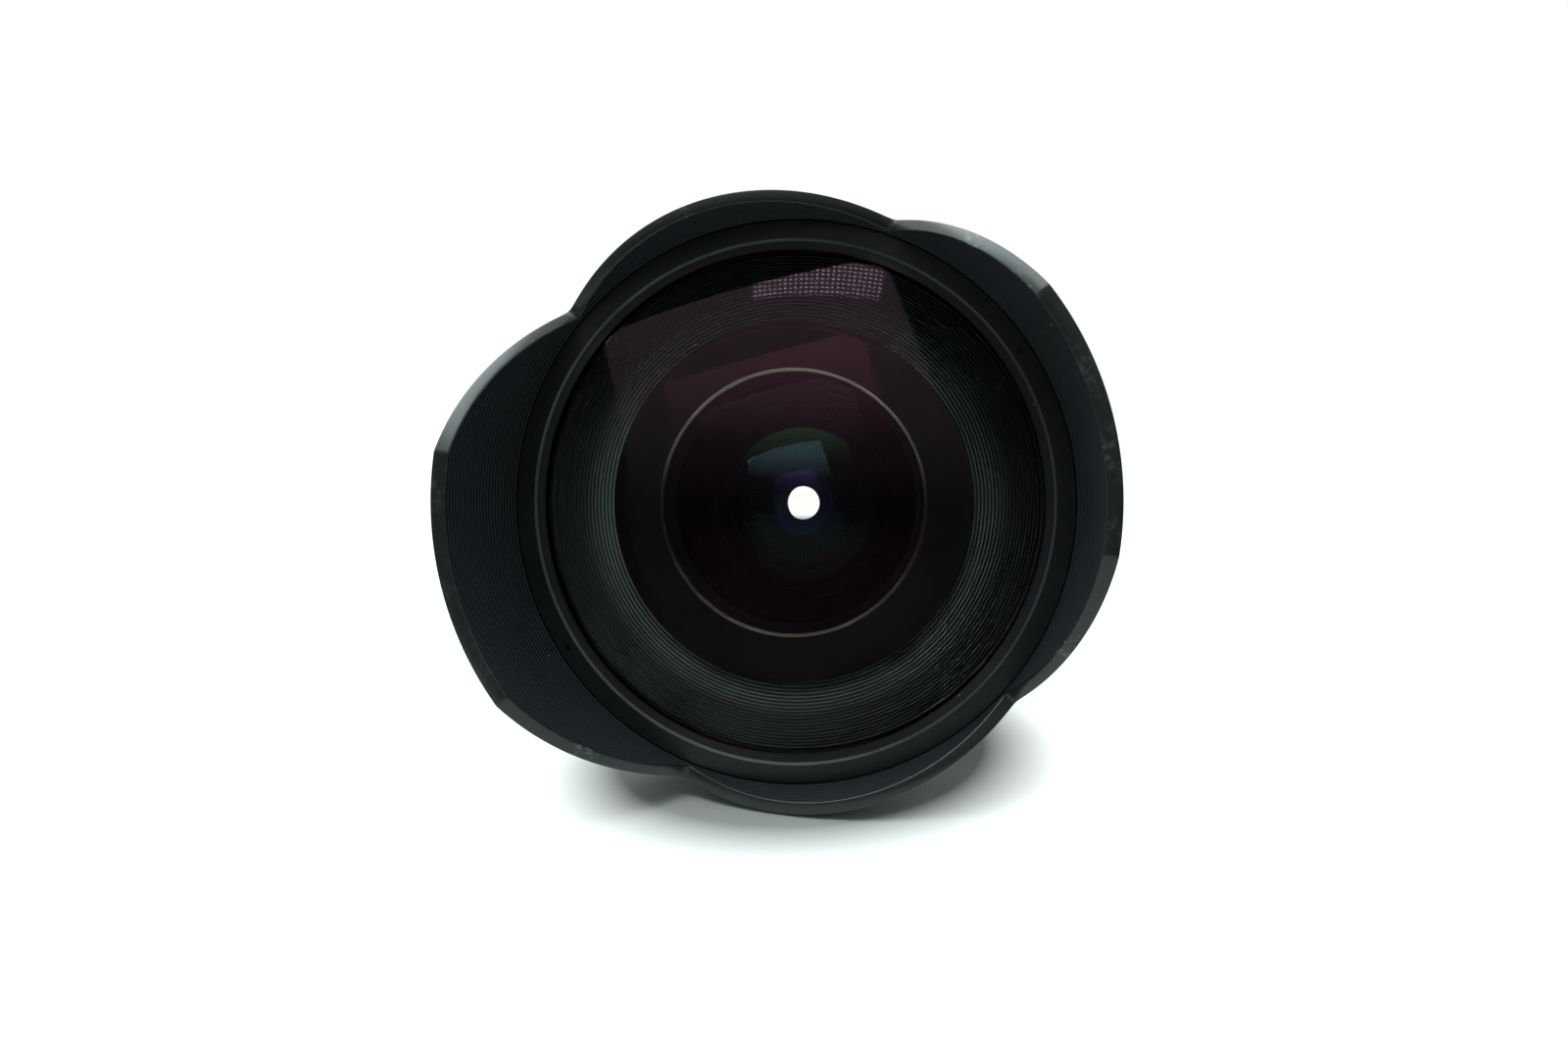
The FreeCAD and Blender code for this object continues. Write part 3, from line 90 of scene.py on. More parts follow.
# Glass: edge radius, front vertex, front curve, rear vertex, rear curve, rear opening
GLASS_1 = (36.1, 78.6, 82.0, 72.2, 50.0, 24.6)
GLASS_2 = (22.0, 69.0, 38.0, 66.5, 20.0, 16.5)
GLASS_3 = (16.0, 58.2, 120.0, 56.4, 26.0, 12.5)
GLASS_BEVEL = 0.15

# Strengths of the room: for diffuse light, for mirrored rays in front, and through the glass
ROOM_LOW, ROOM_HIGH = 0.10, 0.55
MIRROR_LOW, MIRROR_HIGH = 0.03, 0.45
BLURRED_LOW, BLURRED_HIGH = 0.05, 0.40
GLASS_LOW, GLASS_HIGH = 0.01, 0.47
SCATTER_LOW, SCATTER_HIGH, SCATTER_AIM = 0.02, 13.0, (0.0, -0.53, 0.85)
THROUGH_GLASS = 1.6
PANEL_LIGHT = 6.0

# Normals along the axis that tell a ring's bevel, which gets a painted highlight, and a glass's
# ground edge from their faces
BEVEL_STEEP, BEVEL_SHALLOW, EDGE_NORMAL = -0.9, -0.3, 0.2


# Geometry
def sag(curve, height):
    """How far a sphere has fallen away from its vertex at a height off the axis."""
    return curve - math.copysign(math.sqrt(curve * curve - height * height), curve)


def put(points):
    """Points of the lens frame, in millimetres, as points of the part's frame, in metres."""
    return [LENS @ (Vector(p) * MM) for p in points]


def make(name, verts, faces, body, smooth=30.0, zones=None):
    """A piece from points of the lens frame; zones give each face's place in the materials."""
    mesh = bpy.data.meshes.new(name)
    mesh.from_pydata(put(verts), [], faces)
    if zones:
        mesh.polygons.foreach_set("material_index", zones)
    bm = bmesh.new()
    bm.from_mesh(mesh)
    bmesh.ops.remove_doubles(bm, verts=bm.verts, dist=2e-7)
    bmesh.ops.dissolve_degenerate(bm, dist=1e-7, edges=bm.edges)
    bmesh.ops.recalc_face_normals(bm, faces=bm.faces)
    bm.to_mesh(mesh)
    bm.free()
    mesh.polygons.foreach_set("use_smooth", [True] * len(mesh.polygons))
    mesh.set_sharp_from_angle(angle=math.radians(smooth))
    piece = bpy.data.objects.new(name, mesh)
    bpy.context.scene.collection.objects.link(piece)
    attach(piece, body)
    return piece


def turned(name, columns, body, smooth, zone):
    """Closed outlines of (radius, level), one per column, set round the optical axis."""
    verts, faces, zones = [], [], []
    count = len(columns[0])
    for i, column in enumerate(columns):
        angle = 2 * math.pi * i / len(columns)
        c, s = math.cos(angle), math.sin(angle)
        verts += [(r * c, r * s, z) for r, z in column]
        a, b = i * count, (i + 1) % len(columns) * count
        for k in range(count):
            m = (k + 1) % count
            faces.append((a + k, b + k, b + m, a + m))
            zones.append(zone(k))
    return make(name, verts, faces, body, smooth, zones)


def lathe(name, profile, segments=SEGMENTS, smooth=20.0, zone=lambda k: 0):
    """One closed outline of (radius, level) turned about the optical axis."""
    return turned(name, [profile] * segments, "lens_body", smooth, zone)


def arc_profile(vertex, curve, low, high, steps):
    """Points of a sphere's outline between two radii."""
    radii = [low + (high - low) * i / steps for i in range(steps + 1)]
    return [(radius, vertex - sag(curve, radius)) for radius in radii]


def glass_profile(spec, steps):
    """Outline of a lens element: front face, bevelled edge, rear flat, rear face."""
    edge, front, front_curve, rear, rear_curve, rear_open = spec
    points = arc_profile(front, front_curve, 0.0, edge - GLASS_BEVEL, steps)
    points.append((edge, points[-1][1] - GLASS_BEVEL))
    flat = rear - sag(rear_curve, rear_open)
    points.append((edge, flat + GLASS_BEVEL))
    points.append((edge - GLASS_BEVEL, flat))
    points += reversed(arc_profile(rear, rear_curve, 0.0, rear_open, steps))
    return points


# Materials
class Graph:
    """Small helper that builds a shader's node tree."""

    def __init__(self, tree, empty=True):
        self.tree = tree
        if empty:
            tree.nodes.clear()

    def node(self, kind, **values):
        item = self.tree.nodes.new(kind)
        for key, value in values.items():
            if key in item.inputs:
                item.inputs[key].default_value = value
            else:
                setattr(item, key, value)
        return item

    def link(self, source, target):
        self.tree.links.new(source, target)

    def feed(self, item, first, values):
        """Links outputs to a node's inputs, from one place on, or sets plain values there."""
        for place, value in enumerate(values, first):
            socket = item.inputs[place]
            if hasattr(value, "is_linked"):
                self.link(value, socket)
            elif isinstance(value, tuple) and socket.type == "RGBA":
                socket.default_value = (*value, 1.0)
            else:
                socket.default_value = value

    def spread(self, source, low, high, to_low, to_high):
        """Maps a value from one range to another, held at the ends."""
        item = self.node("ShaderNodeMapRange")
        self.feed(item, 0, (source, low, high, to_low, to_high))
        return item.outputs["Result"]

    def mix(self, factor, first, second):
        """Mixes two colours."""
        item = self.node("ShaderNodeMix", data_type="RGBA")
        self.feed(item, 0, (factor,))
        self.feed(item, 6, (first, second))
        return item.outputs[2]

    def pick(self, factor, first, second):
        """Mixes two plain values."""
        item = self.node("ShaderNodeMix")
        self.feed(item, 0, (factor,))
        self.feed(item, 2, (first, second))
        return item.outputs[0]

    def maths(self, operation, first, second):
        item = self.node("ShaderNodeMath", operation=operation)
        self.feed(item, 0, (first, second))
        return item.outputs[0]

    def vector(self, operation, *values):
        item = self.node("ShaderNodeVectorMath", operation=operation)
        self.feed(item, 0, values)
        return item.outputs

    def split(self, source):
        item = self.node("ShaderNodeSeparateXYZ")
        self.link(source, item.inputs[0])
        return item.outputs


class Paint(Graph):
    """Small helper that wires one Principled material."""

    def __init__(self, name, color, rough, metal=0.0, spec=0.5):
        self.mat = bpy.data.materials.new(name)
        self.mat.use_nodes = True
        super().__init__(self.mat.node_tree, empty=False)
        self.bsdf = next(n for n in self.tree.nodes if n.type == "BSDF_PRINCIPLED")
        self.set("Base Color", (*color, 1.0))
        self.set("Roughness", rough)
        self.set("Metallic", metal)
        self.set("Specular IOR Level", spec)
        self.coords = self.node("ShaderNodeTexCoord").outputs["Object"]

    def set(self, socket, value):
        self.bsdf.inputs[socket].default_value = value

    def drive(self, socket, source):
        """Links an output to one of the shader's own sockets."""
        self.link(source, self.bsdf.inputs[socket])

    def shade(self):
        """The output that gives the base colour so far."""
        return self.bsdf.inputs["Base Color"].links[0].from_socket

    def noise(self, scale, detail=4.0, rough=0.6):
        item = self.node("ShaderNodeTexNoise", Scale=scale, Detail=detail, Roughness=rough)
        self.link(self.coords, item.inputs["Vector"])
        return item.outputs["Fac"]

    def bump(self, height, strength, distance):
        item = self.node("ShaderNodeBump", Strength=strength, Distance=distance)
        self.link(height, item.inputs["Height"])
        self.drive("Normal", item.outputs["Normal"])


def matt_black(name, color, rough, grain=3500.0, depth=2e-5, spec=0.5, dust=0.0):
    """Anodised or painted black with fine grain, uneven sheen and a few specks of dust."""
    paint = Paint(name, color, rough, spec=spec)
    fine = paint.noise(grain, 3.0)
    broad = paint.noise(60.0, 5.0)
    paint.drive("Roughness", paint.spread(broad, 0.35, 0.65, rough - 0.06, rough + 0.06))
    light = tuple(min(1.0, c * 1.5) for c in color)
    shade = paint.mix(paint.spread(broad, 0.3, 0.7, 0.0, 1.0), color, light)
    if dust:
        speck = paint.node("ShaderNodeTexVoronoi", Scale=420.0, feature="F1")
        paint.link(paint.coords, speck.inputs["Vector"])
        near = paint.spread(speck.outputs["Distance"], 0.065, 0.03, 0.0, 1.0)
        rare = paint.spread(paint.noise(190.0, 1.0), 0.57, 0.59, 0.0, dust)
        shade = paint.mix(paint.maths("MULTIPLY", near, rare), shade, (0.45, 0.46, 0.45))
    paint.drive("Base Color", shade)
    paint.bump(fine, 0.6, depth)
    return paint


def worn_black(name, color, rough, tint, wear_color, amount):
    """Black whose 'wear' attribute lets pale scuffs and fine scratches through."""
    paint = matt_black(name, color, rough, dust=0.5)
    paint.set("Specular Tint", (*tint, 1.0))
    wear = paint.node("ShaderNodeAttribute", attribute_name="wear").outputs["Fac"]
    stretch = paint.node("ShaderNodeMapping", Scale=(1.0, 0.35, 1.0))
    paint.link(paint.coords, stretch.inputs["Vector"])
    scratch = paint.node("ShaderNodeTexNoise", Scale=900.0, Detail=6.0, Roughness=0.75)
    paint.link(stretch.outputs["Vector"], scratch.inputs["Vector"])
    mask = paint.maths("MULTIPLY", wear,
                       paint.spread(scratch.outputs["Fac"], 0.50, 0.66, 0.0, amount))
    paint.drive("Base Color", paint.mix(mask, paint.shade(), wear_color))
    paint.drive("Roughness", paint.spread(mask, 0.0, 1.0, rough, rough + 0.2))
    return paint


def glass_paint(name, ior, tint):
    """Polished coated glass, tinted where it mirrors, with a faint uneven film on it."""
    paint = Paint(name, (1.0, 1.0, 1.0), 0.0)
    film = paint.spread(paint.noise(45.0, 5.0), 0.35, 0.65, 0.0, 1.0)
    paint.drive("Base Color", paint.mix(film, (1.0, 1.0, 1.0), (0.965, 0.975, 0.97)))
    paint.set("Transmission Weight", 1.0)
    paint.set("IOR", ior)
    paint.set("Specular Tint", (*tint, 1.0))
    return paint


def clear_coated(name, alpha):
    """Coated inner glass that lets nearly all the light through."""
    paint = Paint(name, (0.0, 0.0, 0.0), 0.05)
    paint.drive("Roughness", paint.spread(paint.noise(150.0, 3.0), 0.3, 0.7, 0.03, 0.08))
    paint.set("Alpha", alpha)
    return paint


def edge_with_painted_highlight(name, dim, bright):
    """Bare metal edge with a painted highlight: brightest at the top and a little at the bottom.
    """
    paint = Paint(name, bright, 0.45)
    height = paint.split(paint.coords)["Z"]
    # Painted highlight: brighter toward the top and a little toward the bottom, broken up by
    # noise.
    highlight_share = paint.maths("MAXIMUM", paint.spread(height, 0.002, 0.017, 0.0, 1.0),
                       paint.spread(height, -0.006, -0.017, 0.0, 0.22))
    broken_highlight = paint.maths("MULTIPLY", highlight_share,
                         paint.spread(paint.noise(120.0, 3.0), 0.35, 0.6, 0.75, 1.0))
    paint.drive("Base Color", paint.mix(broken_highlight, dim, bright))
    return paint


def rib_paint_darker_outward(name, inner, outer):
    """Rib paint that is painted darker with the distance from the optical axis: painted shade."""
    paint = matt_black(name, outer, 0.5, depth=1e-6)
    flat = paint.vector("MULTIPLY", paint.coords, (1.0, 0.0, 1.0))["Vector"]
    reach = paint.vector("LENGTH", flat)["Value"]
    # Painted shade: the paint darkens outward from the axis.
    outward_shade = paint.spread(reach, RIB_PAINTED_SHADE_START, RIB_PAINTED_SHADE_END, 0.0, 1.0)
    paint.drive("Base Color", paint.mix(outward_shade, inner, paint.shade()))
    return paint


def metal(name, color, rough, streak):
    """Bare metal with fine grain and an uneven polish."""
    paint = Paint(name, color, rough, metal=1.0)
    fine = paint.noise(2500.0, 3.0)
    broad = paint.noise(90.0, 5.0)
    paint.drive("Roughness", paint.spread(broad, 0.3, 0.7, rough - streak, rough + streak))
    dark = tuple(c * 0.86 for c in color)
    paint.drive("Base Color", paint.mix(paint.spread(broad, 0.35, 0.65, 0.0, 1.0), dark, color))
    paint.bump(fine, 0.3, 1e-5)
    return paint


HOOD_BLACK = worn_black("hood_black", (0.011, 0.013, 0.013), 0.30, (0.90, 0.99, 1.0),
                        (0.30, 0.33, 0.32), 0.55)
# Inside the hood: the paler black on the grooves' shoulders is a painted highlight, and the
# near-black of the rest is painted shade.
HOOD_WALL_PAINTED_LIGHT = matt_black("hood_wall_painted_light", (0.015, 0.019, 0.023), 0.55, dust=0.8, spec=0.20)
HOOD_GROOVE_PAINTED_SHADE = matt_black("hood_groove_painted_shade", (0.004, 0.006, 0.007), 0.60, spec=0.15)
RING_BLACK = matt_black("ring_black", (0.009, 0.0115, 0.013), 0.34, dust=0.5, spec=0.35)
# Paler copy of the ring's black for its bevel: a painted highlight.
RING_BEVEL_PAINTED_HIGHLIGHT = matt_black("ring_bevel_painted_highlight", (0.043, 0.052, 0.056), 0.32, spec=0.6)
BARREL_BLACK = matt_black("barrel_black", (0.013, 0.013, 0.014), 0.45, 1500.0, 6e-5)
CELL_BLACK = matt_black("cell_black", (0.004, 0.004, 0.004), 0.7, depth=4e-6, spec=0.2)
SEAL_BLACK = matt_black("seal_black", (0.015, 0.017, 0.017), 0.6, 900.0, 4e-5, 0.3, 0.8)
RUBBER = matt_black("grip_rubber", (0.016, 0.016, 0.016), 0.68, 1200.0, 8e-5, dust=0.4)
STEEL = matt_black("dark_steel", (0.10, 0.10, 0.10), 0.35)
BLADE = matt_black("blade_black", (0.02, 0.02, 0.022), 0.45)
# Bare metal of the second ring's bevel, with a painted highlight brightest at the top.
EDGE_METAL_HIGHLIGHT = edge_with_painted_highlight("bare_edge_painted_highlight", (0.016, 0.017, 0.013), (0.36, 0.37, 0.27))
# Rib crests are painted pale as a painted highlight, and hollows dark as painted shade.
RIB_CREST_PAINTED_HIGHLIGHT = rib_paint_darker_outward("rib_crest_painted_highlight", (0.36, 0.48, 0.46), (0.046, 0.062, 0.060))
RIB_HOLLOW_PAINTED_SHADE = rib_paint_darker_outward("rib_hollow_painted_shade", (0.040, 0.056, 0.054), (0.012, 0.016, 0.016))
FRONT_PINK = glass_paint("front_glass", 1.5, (0.78, 0.50, 0.68))
EDGE_DIM = glass_paint("front_glass_edge", 1.5, (0.05, 0.05, 0.05))
REAR_RED = glass_paint("front_glass_rear", 1.5, (0.94, 0.13, 0.30))
SECOND_GREY = glass_paint("second_glass", 1.8, (0.11, 0.11, 0.11))
SECOND_BLUE = glass_paint("second_glass_rear", 1.8, (0.43, 0.76, 1.0))
THIRD_GREEN = glass_paint("third_glass", 1.8, (0.24, 0.65, 0.33))
THIRD_VIOLET = glass_paint("third_glass_rear", 1.8, (0.28, 0.25, 0.97))
GLASS_THIN = clear_coated("inner_glass", 0.008)
GLASS_REAR = clear_coated("rear_glass", 0.03)
EDGE_INK = matt_black("lens_edge_ink", (0.006, 0.006, 0.006), 0.6)
CHROME = metal("mount_chrome", (0.72, 0.72, 0.73), 0.22, 0.07)
TRIM = metal("trim_metal", (0.58, 0.58, 0.60), 0.32, 0.06)
BRASS = metal("brass", (0.72, 0.55, 0.26), 0.35, 0.08)
WHITE_FILL = matt_black("white_fill", (0.60, 0.60, 0.58), 0.5)
AMBER_FILL = matt_black("amber_fill", (0.55, 0.30, 0.06), 0.5)
RED_FILL = matt_black("red_fill", (0.50, 0.04, 0.03), 0.35)


def dress(paint, *names):
    """Gives solids of the part one material."""
    for name in names:
        slots = NODES[name].data.materials
        slots.clear()
        slots.append(paint.mat)


def dress_solids():
    """Materials of the solids that are shown as they are."""
    dress(CHROME, "mount_flange")
    dress(STEEL, "mount_screws", "hood_screws", "cell_screws", "link_screw", "focus_stop")
    dress(BRASS, "mount_shim", "middle_lock_ring", "diaphragm_rotor", "guide_pins",
          "focus_drive_key", "aperture_link")
    dress(CELL_BLACK, "rear_baffle", "main_barrel", "front_cell", "second_cell",
          "third_retaining_ring", "middle_cell", "middle_front_ring", "middle_rear_ring",
          "diaphragm_housing", "focus_cell", "focus_front_ring", "focus_spacers",
          "rear_retaining_ring", "focus_cam_sleeve", "second_retaining_ring")
    dress(BARREL_BLACK, "rear_collar", "index_collar", "front_barrel", "focus_ring",
          "aperture_ring")
    dress(TRIM, "accent_ring", "click_spring", "rotor_snap_ring")
    dress(RUBBER, "focus_grip")
    dress(BLADE, *["blade_%d" % i for i in range(1, 7)])
    dress(RING_BLACK, "front_retaining_ring")
    dress(SEAL_BLACK, "front_seal")


def dress_ring():
    """The front ring's inner bevel is painted paler than its face: a painted highlight."""
    mesh = NODES["front_retaining_ring"].data
    mesh.materials.append(RING_BEVEL_PAINTED_HIGHLIGHT.mat)
    for polygon in mesh.polygons:
        polygon.material_index = int(BEVEL_STEEP < polygon.normal.y < BEVEL_SHALLOW)


def dress_glass(paint, *names):
    """Clear faces and an inked edge, as ground lens edges are."""
    for name in names:
        dress(paint, name)
        mesh = NODES[name].data
        mesh.materials.append(EDGE_INK.mat)
        for polygon in mesh.polygons:
            polygon.material_index = int(abs(polygon.normal.y) < EDGE_NORMAL)


def finish_piece(piece, paints, slot=None, *replaced):
    """Materials of a piece and the solids that it stands for; the slot argument is not used."""
    for paint in paints if isinstance(paints, tuple) else (paints,):
        piece.data.materials.append(paint.mat)
    if replaced:
        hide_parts(*replaced)


# Hood
def smooth_max(a, b, width):
    """The larger of two levels, with the corner between them rounded."""
    return (a + b + math.sqrt((a - b) ** 2 + width * width)) / 2


def petal_level(across):
    """Level of the hood's edge at a distance from the plane between the long petals."""
    x = abs(across)
    rise = SHORT_PETAL - NOTCH_LEVEL
    radius = (NOTCH_HALF ** 2 + rise ** 2) / (2 * rise)
    inside = max(radius * radius - x * x, 0.0)
    arch = SHORT_PETAL - radius + math.sqrt(inside)
    run, climb = TIP_HALF - NOTCH_HALF, HOOD_TIP_LEVEL - NOTCH_LEVEL
    chord = math.hypot(run, climb)
    limit = 60.0
    bow = along = 0.0
    for _ in range(4):
        along = (x - (TIP_HALF + NOTCH_HALF) / 2 + bow * climb / chord) * chord / run
        along = max(-limit, min(limit, along))
        bow = math.sqrt(SIDE_CURVE ** 2 - along ** 2) - math.sqrt(SIDE_CURVE ** 2 - chord ** 2 / 4)
    side = (HOOD_TIP_LEVEL + NOTCH_LEVEL) / 2 + (along * climb + bow * run) / chord
    return min(smooth_max(arch, side, NOTCH_ROUND), HOOD_TIP_LEVEL)


def outer_radius(level):
    """The hood's outside is a cone."""
    share = (level - HOOD_ROOT_LEVEL) / (HOOD_TIP_LEVEL - HOOD_ROOT_LEVEL)
    return HOOD_ROOT_RADIUS + (HOOD_TIP_RADIUS - HOOD_ROOT_RADIUS) * share


def inner_radius(level):
    """The hood's bore narrows faster toward the front ring."""
    share = (HOOD_TIP_LEVEL - level) / (HOOD_TIP_LEVEL - RING_FRONT)
    return INSIDE_TIP - (INSIDE_TIP - INSIDE_ROOT) * share ** INSIDE_CURVE


def edge_level(angle):
    """Level of the rim at an angle: both its edges stand at this level, square to the wall."""
    level = HOOD_TIP_LEVEL
    for _ in range(6):
        level = petal_level(outer_radius(level) * math.cos(angle))
    return level


def groove_rows():
    """Levels and depths of the grooves inside the hood, from the front ring up."""
    rows = []
    for k in range(int((HOOD_TIP_LEVEL - RING_FRONT) / GROOVE_PITCH) + 1):
        level = RING_FRONT + k * GROOVE_PITCH
        rows += [(level, 0.0), (level + GROOVE_PITCH * LAND_END, 0.0),
                 (level + GROOVE_PITCH * FLOOR_START, GROOVE_DEPTH),
                 (level + GROOVE_PITCH * FLOOR_END, GROOVE_DEPTH)]
    return rows


def hood_column(angle, grooves):
    """Outline of the hood at an angle: root, up outside, over the rim, down the grooves."""
    top = edge_level(angle)
    column = [(inner_radius(RING_REAR), RING_REAR), (HOOD_ROOT_BORE, RING_REAR),
              (HOOD_ROOT_BORE, HOOD_ROOT_LEVEL)]
    for share in OUTSIDE_ROWS:
        level = HOOD_ROOT_LEVEL + (top - RIM_EASE - HOOD_ROOT_LEVEL) * share
        column.append((outer_radius(level), level))
    column.append((outer_radius(top) - RIM_EASE * 0.3, top - RIM_EASE * 0.3))
    column.append((outer_radius(top) - RIM_EASE, top))
    for turn in RIM_TURNS:
        round_off = math.radians(turn)
        column.append((inner_radius(top) + RIM_ROUND * (1 - math.cos(round_off)),
                       top - RIM_ROUND * (1 - math.sin(round_off))))
    ceiling = top - RIM_ROUND
    for level, depth in reversed(grooves):
        at = min(level, ceiling)
        column.append((inner_radius(at) + (depth if level < ceiling else 0.0), at))
    return column


def hood_zone(k):
    """Place in the materials: outside and rim, a groove's shoulder painted pale as a painted
    highlight, or the rest painted near-black as painted shade.
    """
    if 1 < k < RIM_END:
        return 0
    return 1 if k <= RIM_END or (k - RIM_END) % 4 == 1 else 2


def hood():
    """Petal hood: smooth outside, a rim square to the wall, and fine grooves inside."""
    grooves = groove_rows()
    columns = [hood_column(2 * math.pi * i / HOOD_COLUMNS, grooves) for i in range(HOOD_COLUMNS)]
    piece = turned("hood_shell", columns, "lens_body", 35.0, hood_zone)
    mark_wear(piece)
    finish_piece(piece, (HOOD_BLACK, HOOD_WALL_PAINTED_LIGHT, HOOD_GROOVE_PAINTED_SHADE), "hood_black", "petal_hood")


def mark_wear(piece):
    """Marks the rim near the scuffed angles, seen from the front, for the scuff texture."""
    mesh = piece.data
    values = []
    back = LENS.inverted()
    for vertex in mesh.vertices:
        point = back @ vertex.co / MM
        view = math.degrees(math.atan2(point.y, point.x)) + math.degrees(ROLL)
        near = max(0.0, 1.0 - (petal_level(point.x) - point.z) / SCUFF_REACH)
        amount = SCUFF_FLOOR
        for angle, width, strength in SCUFFS:
            gap = (view - angle + 180.0) % 360.0 - 180.0
            amount = max(amount, strength * math.exp(-(gap / width) ** 2))
        values.append(near * amount)
    layer = mesh.attributes.new("wear", "FLOAT", "POINT")
    layer.data.foreach_set("value", values)


# Front glass and what is seen through it
def ribbed_baffle():
    """Light baffle: every rib's crest is painted pale as a painted highlight, and the hollow
    behind it dark as painted shade.
    """
    step = (RIB_OUTER - RIB_INNER) / RIB_COUNT
    climb = (RIB_TOP - RIB_LOW) / RIB_COUNT
    points = [(RIB_INNER, RIB_BASE), (RIB_OUTER, RIB_BASE), (RIB_OUTER, RIB_TOP)]
    for i in range(RIB_COUNT):
        crest = points[-1]
        hollow = (RIB_OUTER - step * (i + 0.75), RIB_TOP - climb * (i + 0.25) - RIB_HEIGHT)
        points.append(((crest[0] + hollow[0]) / 2, (crest[1] + hollow[1]) / 2))
        points.append(hollow)
        points.append((RIB_OUTER - step * (i + 1), RIB_TOP - climb * (i + 1)))
    # Zone 0 takes the painted highlight and zone 1 the painted shade.
    piece = lathe("baffle_ribs", points, zone=lambda k: int(k < 3 or (k - 2) % 3 > 0))
    finish_piece(piece, (RIB_CREST_PAINTED_HIGHLIGHT, RIB_HOLLOW_PAINTED_SHADE), "baffle_black", "ribbed_baffle")


def element(name, spec, steps, segments, edge_from, paints, slot, replaced):
    """A lens element with a material each for its front, its edge and its rear."""
    rear_from = steps + 4
    piece = lathe(name, glass_profile(spec, steps), segments, 40.0,
                  lambda k: int(k >= edge_from) + int(k >= rear_from))
    finish_piece(piece, paints, slot, replaced)


def front_glasses():
    """The three front elements, whose coatings give the coloured reflections."""
    element("front_element", GLASS_1, 48, FINE_SEGMENTS, 49,
            (FRONT_PINK, EDGE_DIM, REAR_RED), "front_glass", "element_01")
    element("second_element", GLASS_2, 40, FINE_SEGMENTS, 40,
            (SECOND_GREY, EDGE_INK, SECOND_BLUE), "inner_glass", "element_02")
    element("third_element", GLASS_3, 32, SEGMENTS, 32,
            (THIRD_GREEN, EDGE_INK, THIRD_VIOLET), "inner_glass", "element_03")


def second_ring():
    """Retaining ring of the second element, with its bare metal inner bevel carrying a painted
    highlight.
    """
    inner, outer, front, bevel_width = 18.95, 24.4, 64.78, 0.38
    seat = GLASS_2[1] - sag(GLASS_2[2], inner)
    face = [(inner + bevel_width, front), (outer, front), (outer, seat), (inner + 0.1, seat)]
    finish_piece(lathe("second_ring_face", face), CELL_BLACK, "ring_black",
                 "second_retaining_ring")
    bevel = [(inner, seat + 0.05), (inner, front - 0.2), (inner + bevel_width, front),
             (inner + 0.1, seat)]
    finish_piece(lathe("second_ring_bevel", bevel), EDGE_METAL_HIGHLIGHT, "trim_metal")


# Engraved and filled marks: text, level and radius of the drums that carry them
STOPS = ("2.8", "4", "5.6", "8", "11", "16", "22")
METRES = (("0.28", 0.28), ("0.3", 0.3), ("0.35", 0.35), ("0.4", 0.4), ("0.5", 0.5),
          ("0.7", 0.7), ("1", 1.0), ("2", 2.0), ("\u221e", 60.0))
FEET = (("1", 1.0), ("1.25", 1.25), ("1.5", 1.5), ("2", 2.0), ("3", 3.0), ("7", 7.0))
FOOT = 0.3048
DEPTHS = (("4", 3.0), ("8", 6.5), ("16", 12.5), ("22", 17.5))
CLOSEST, FOCUS_TURN, CLICK, UNIT_GAP = 0.28, 130.0, 8.0, 8.0
APERTURE_RADIUS, FOCUS_RADIUS, MOUNT_RADIUS = 34.8, 37.2, 33.6
COLLAR_LEVEL, COLLAR_LENGTH, COLLAR_REAR, COLLAR_FRONT = 16.7, 7.8, 35.2, 36.8
INK_HEIGHT = 0.02


def text_mesh(text, angle, level, radius, height):
    """Points and faces of a text laid round a drum, its top toward the front."""
    curve = bpy.data.curves.new("text", "FONT")
    curve.body, curve.size = text, height
    curve.align_x, curve.align_y = "CENTER", "CENTER"
    curve.extrude, curve.resolution_u = INK_HEIGHT, 3
    holder = bpy.data.objects.new("text", curve)
    flat = holder.to_mesh()
    points = []
    for vertex in flat.vertices:
        across, along, out = vertex.co
        turn = math.radians(angle) + across / radius
        points.append(((radius + out) * math.cos(turn), (radius + out) * math.sin(turn),
                       level + along))
    faces = [tuple(polygon.vertices) for polygon in flat.polygons]
    holder.to_mesh_clear()
    bpy.data.objects.remove(holder)
    bpy.data.curves.remove(curve)
    return points, faces


def bar_mesh(angle, low, high, low_radius, high_radius, width):
    """A short bar along the axis, standing just proud of a drum or cone."""
    points = []
    for level, radius in ((low, low_radius), (high, high_radius)):
        for side in (-0.5, 0.5):
            turn = math.radians(angle) + side * width / radius
            for out in (-INK_HEIGHT, INK_HEIGHT):
                points.append(((radius + out) * math.cos(turn), (radius + out) * math.sin(turn),
                               level))
    faces = [(0, 1, 3, 2), (4, 6, 7, 5), (0, 4, 5, 1), (2, 3, 7, 6), (1, 5, 7, 3), (0, 2, 6, 4)]
    return points, faces


def marks(name, pieces, body, paint):
    """One piece from the points and faces of many marks."""
    verts, faces = [], []
    for points, rings in pieces:
        faces += [tuple(len(verts) + i for i in ring) for ring in rings]
        verts += points
    finish_piece(make(name, verts, faces, body, 30.0), paint)


def collar_radius(level):
    """The index collar is a cone between the aperture ring and the focus ring."""
    return COLLAR_REAR + (COLLAR_FRONT - COLLAR_REAR) * (level - COLLAR_LEVEL) / COLLAR_LENGTH


def aperture_numbers():
    """Stops on the aperture ring, one click apart."""
    level, height = 14.75, 2.1
    marks("aperture_numbers", [text_mesh(text, -CLICK * i, level, APERTURE_RADIUS, height)
                               for i, text in enumerate(STOPS)], "aperture_ring", WHITE_FILL)


def focus_text(text, angle, level, height):
    """A text on the focus ring's drum."""
    return text_mesh(text, angle, level, FOCUS_RADIUS, height)


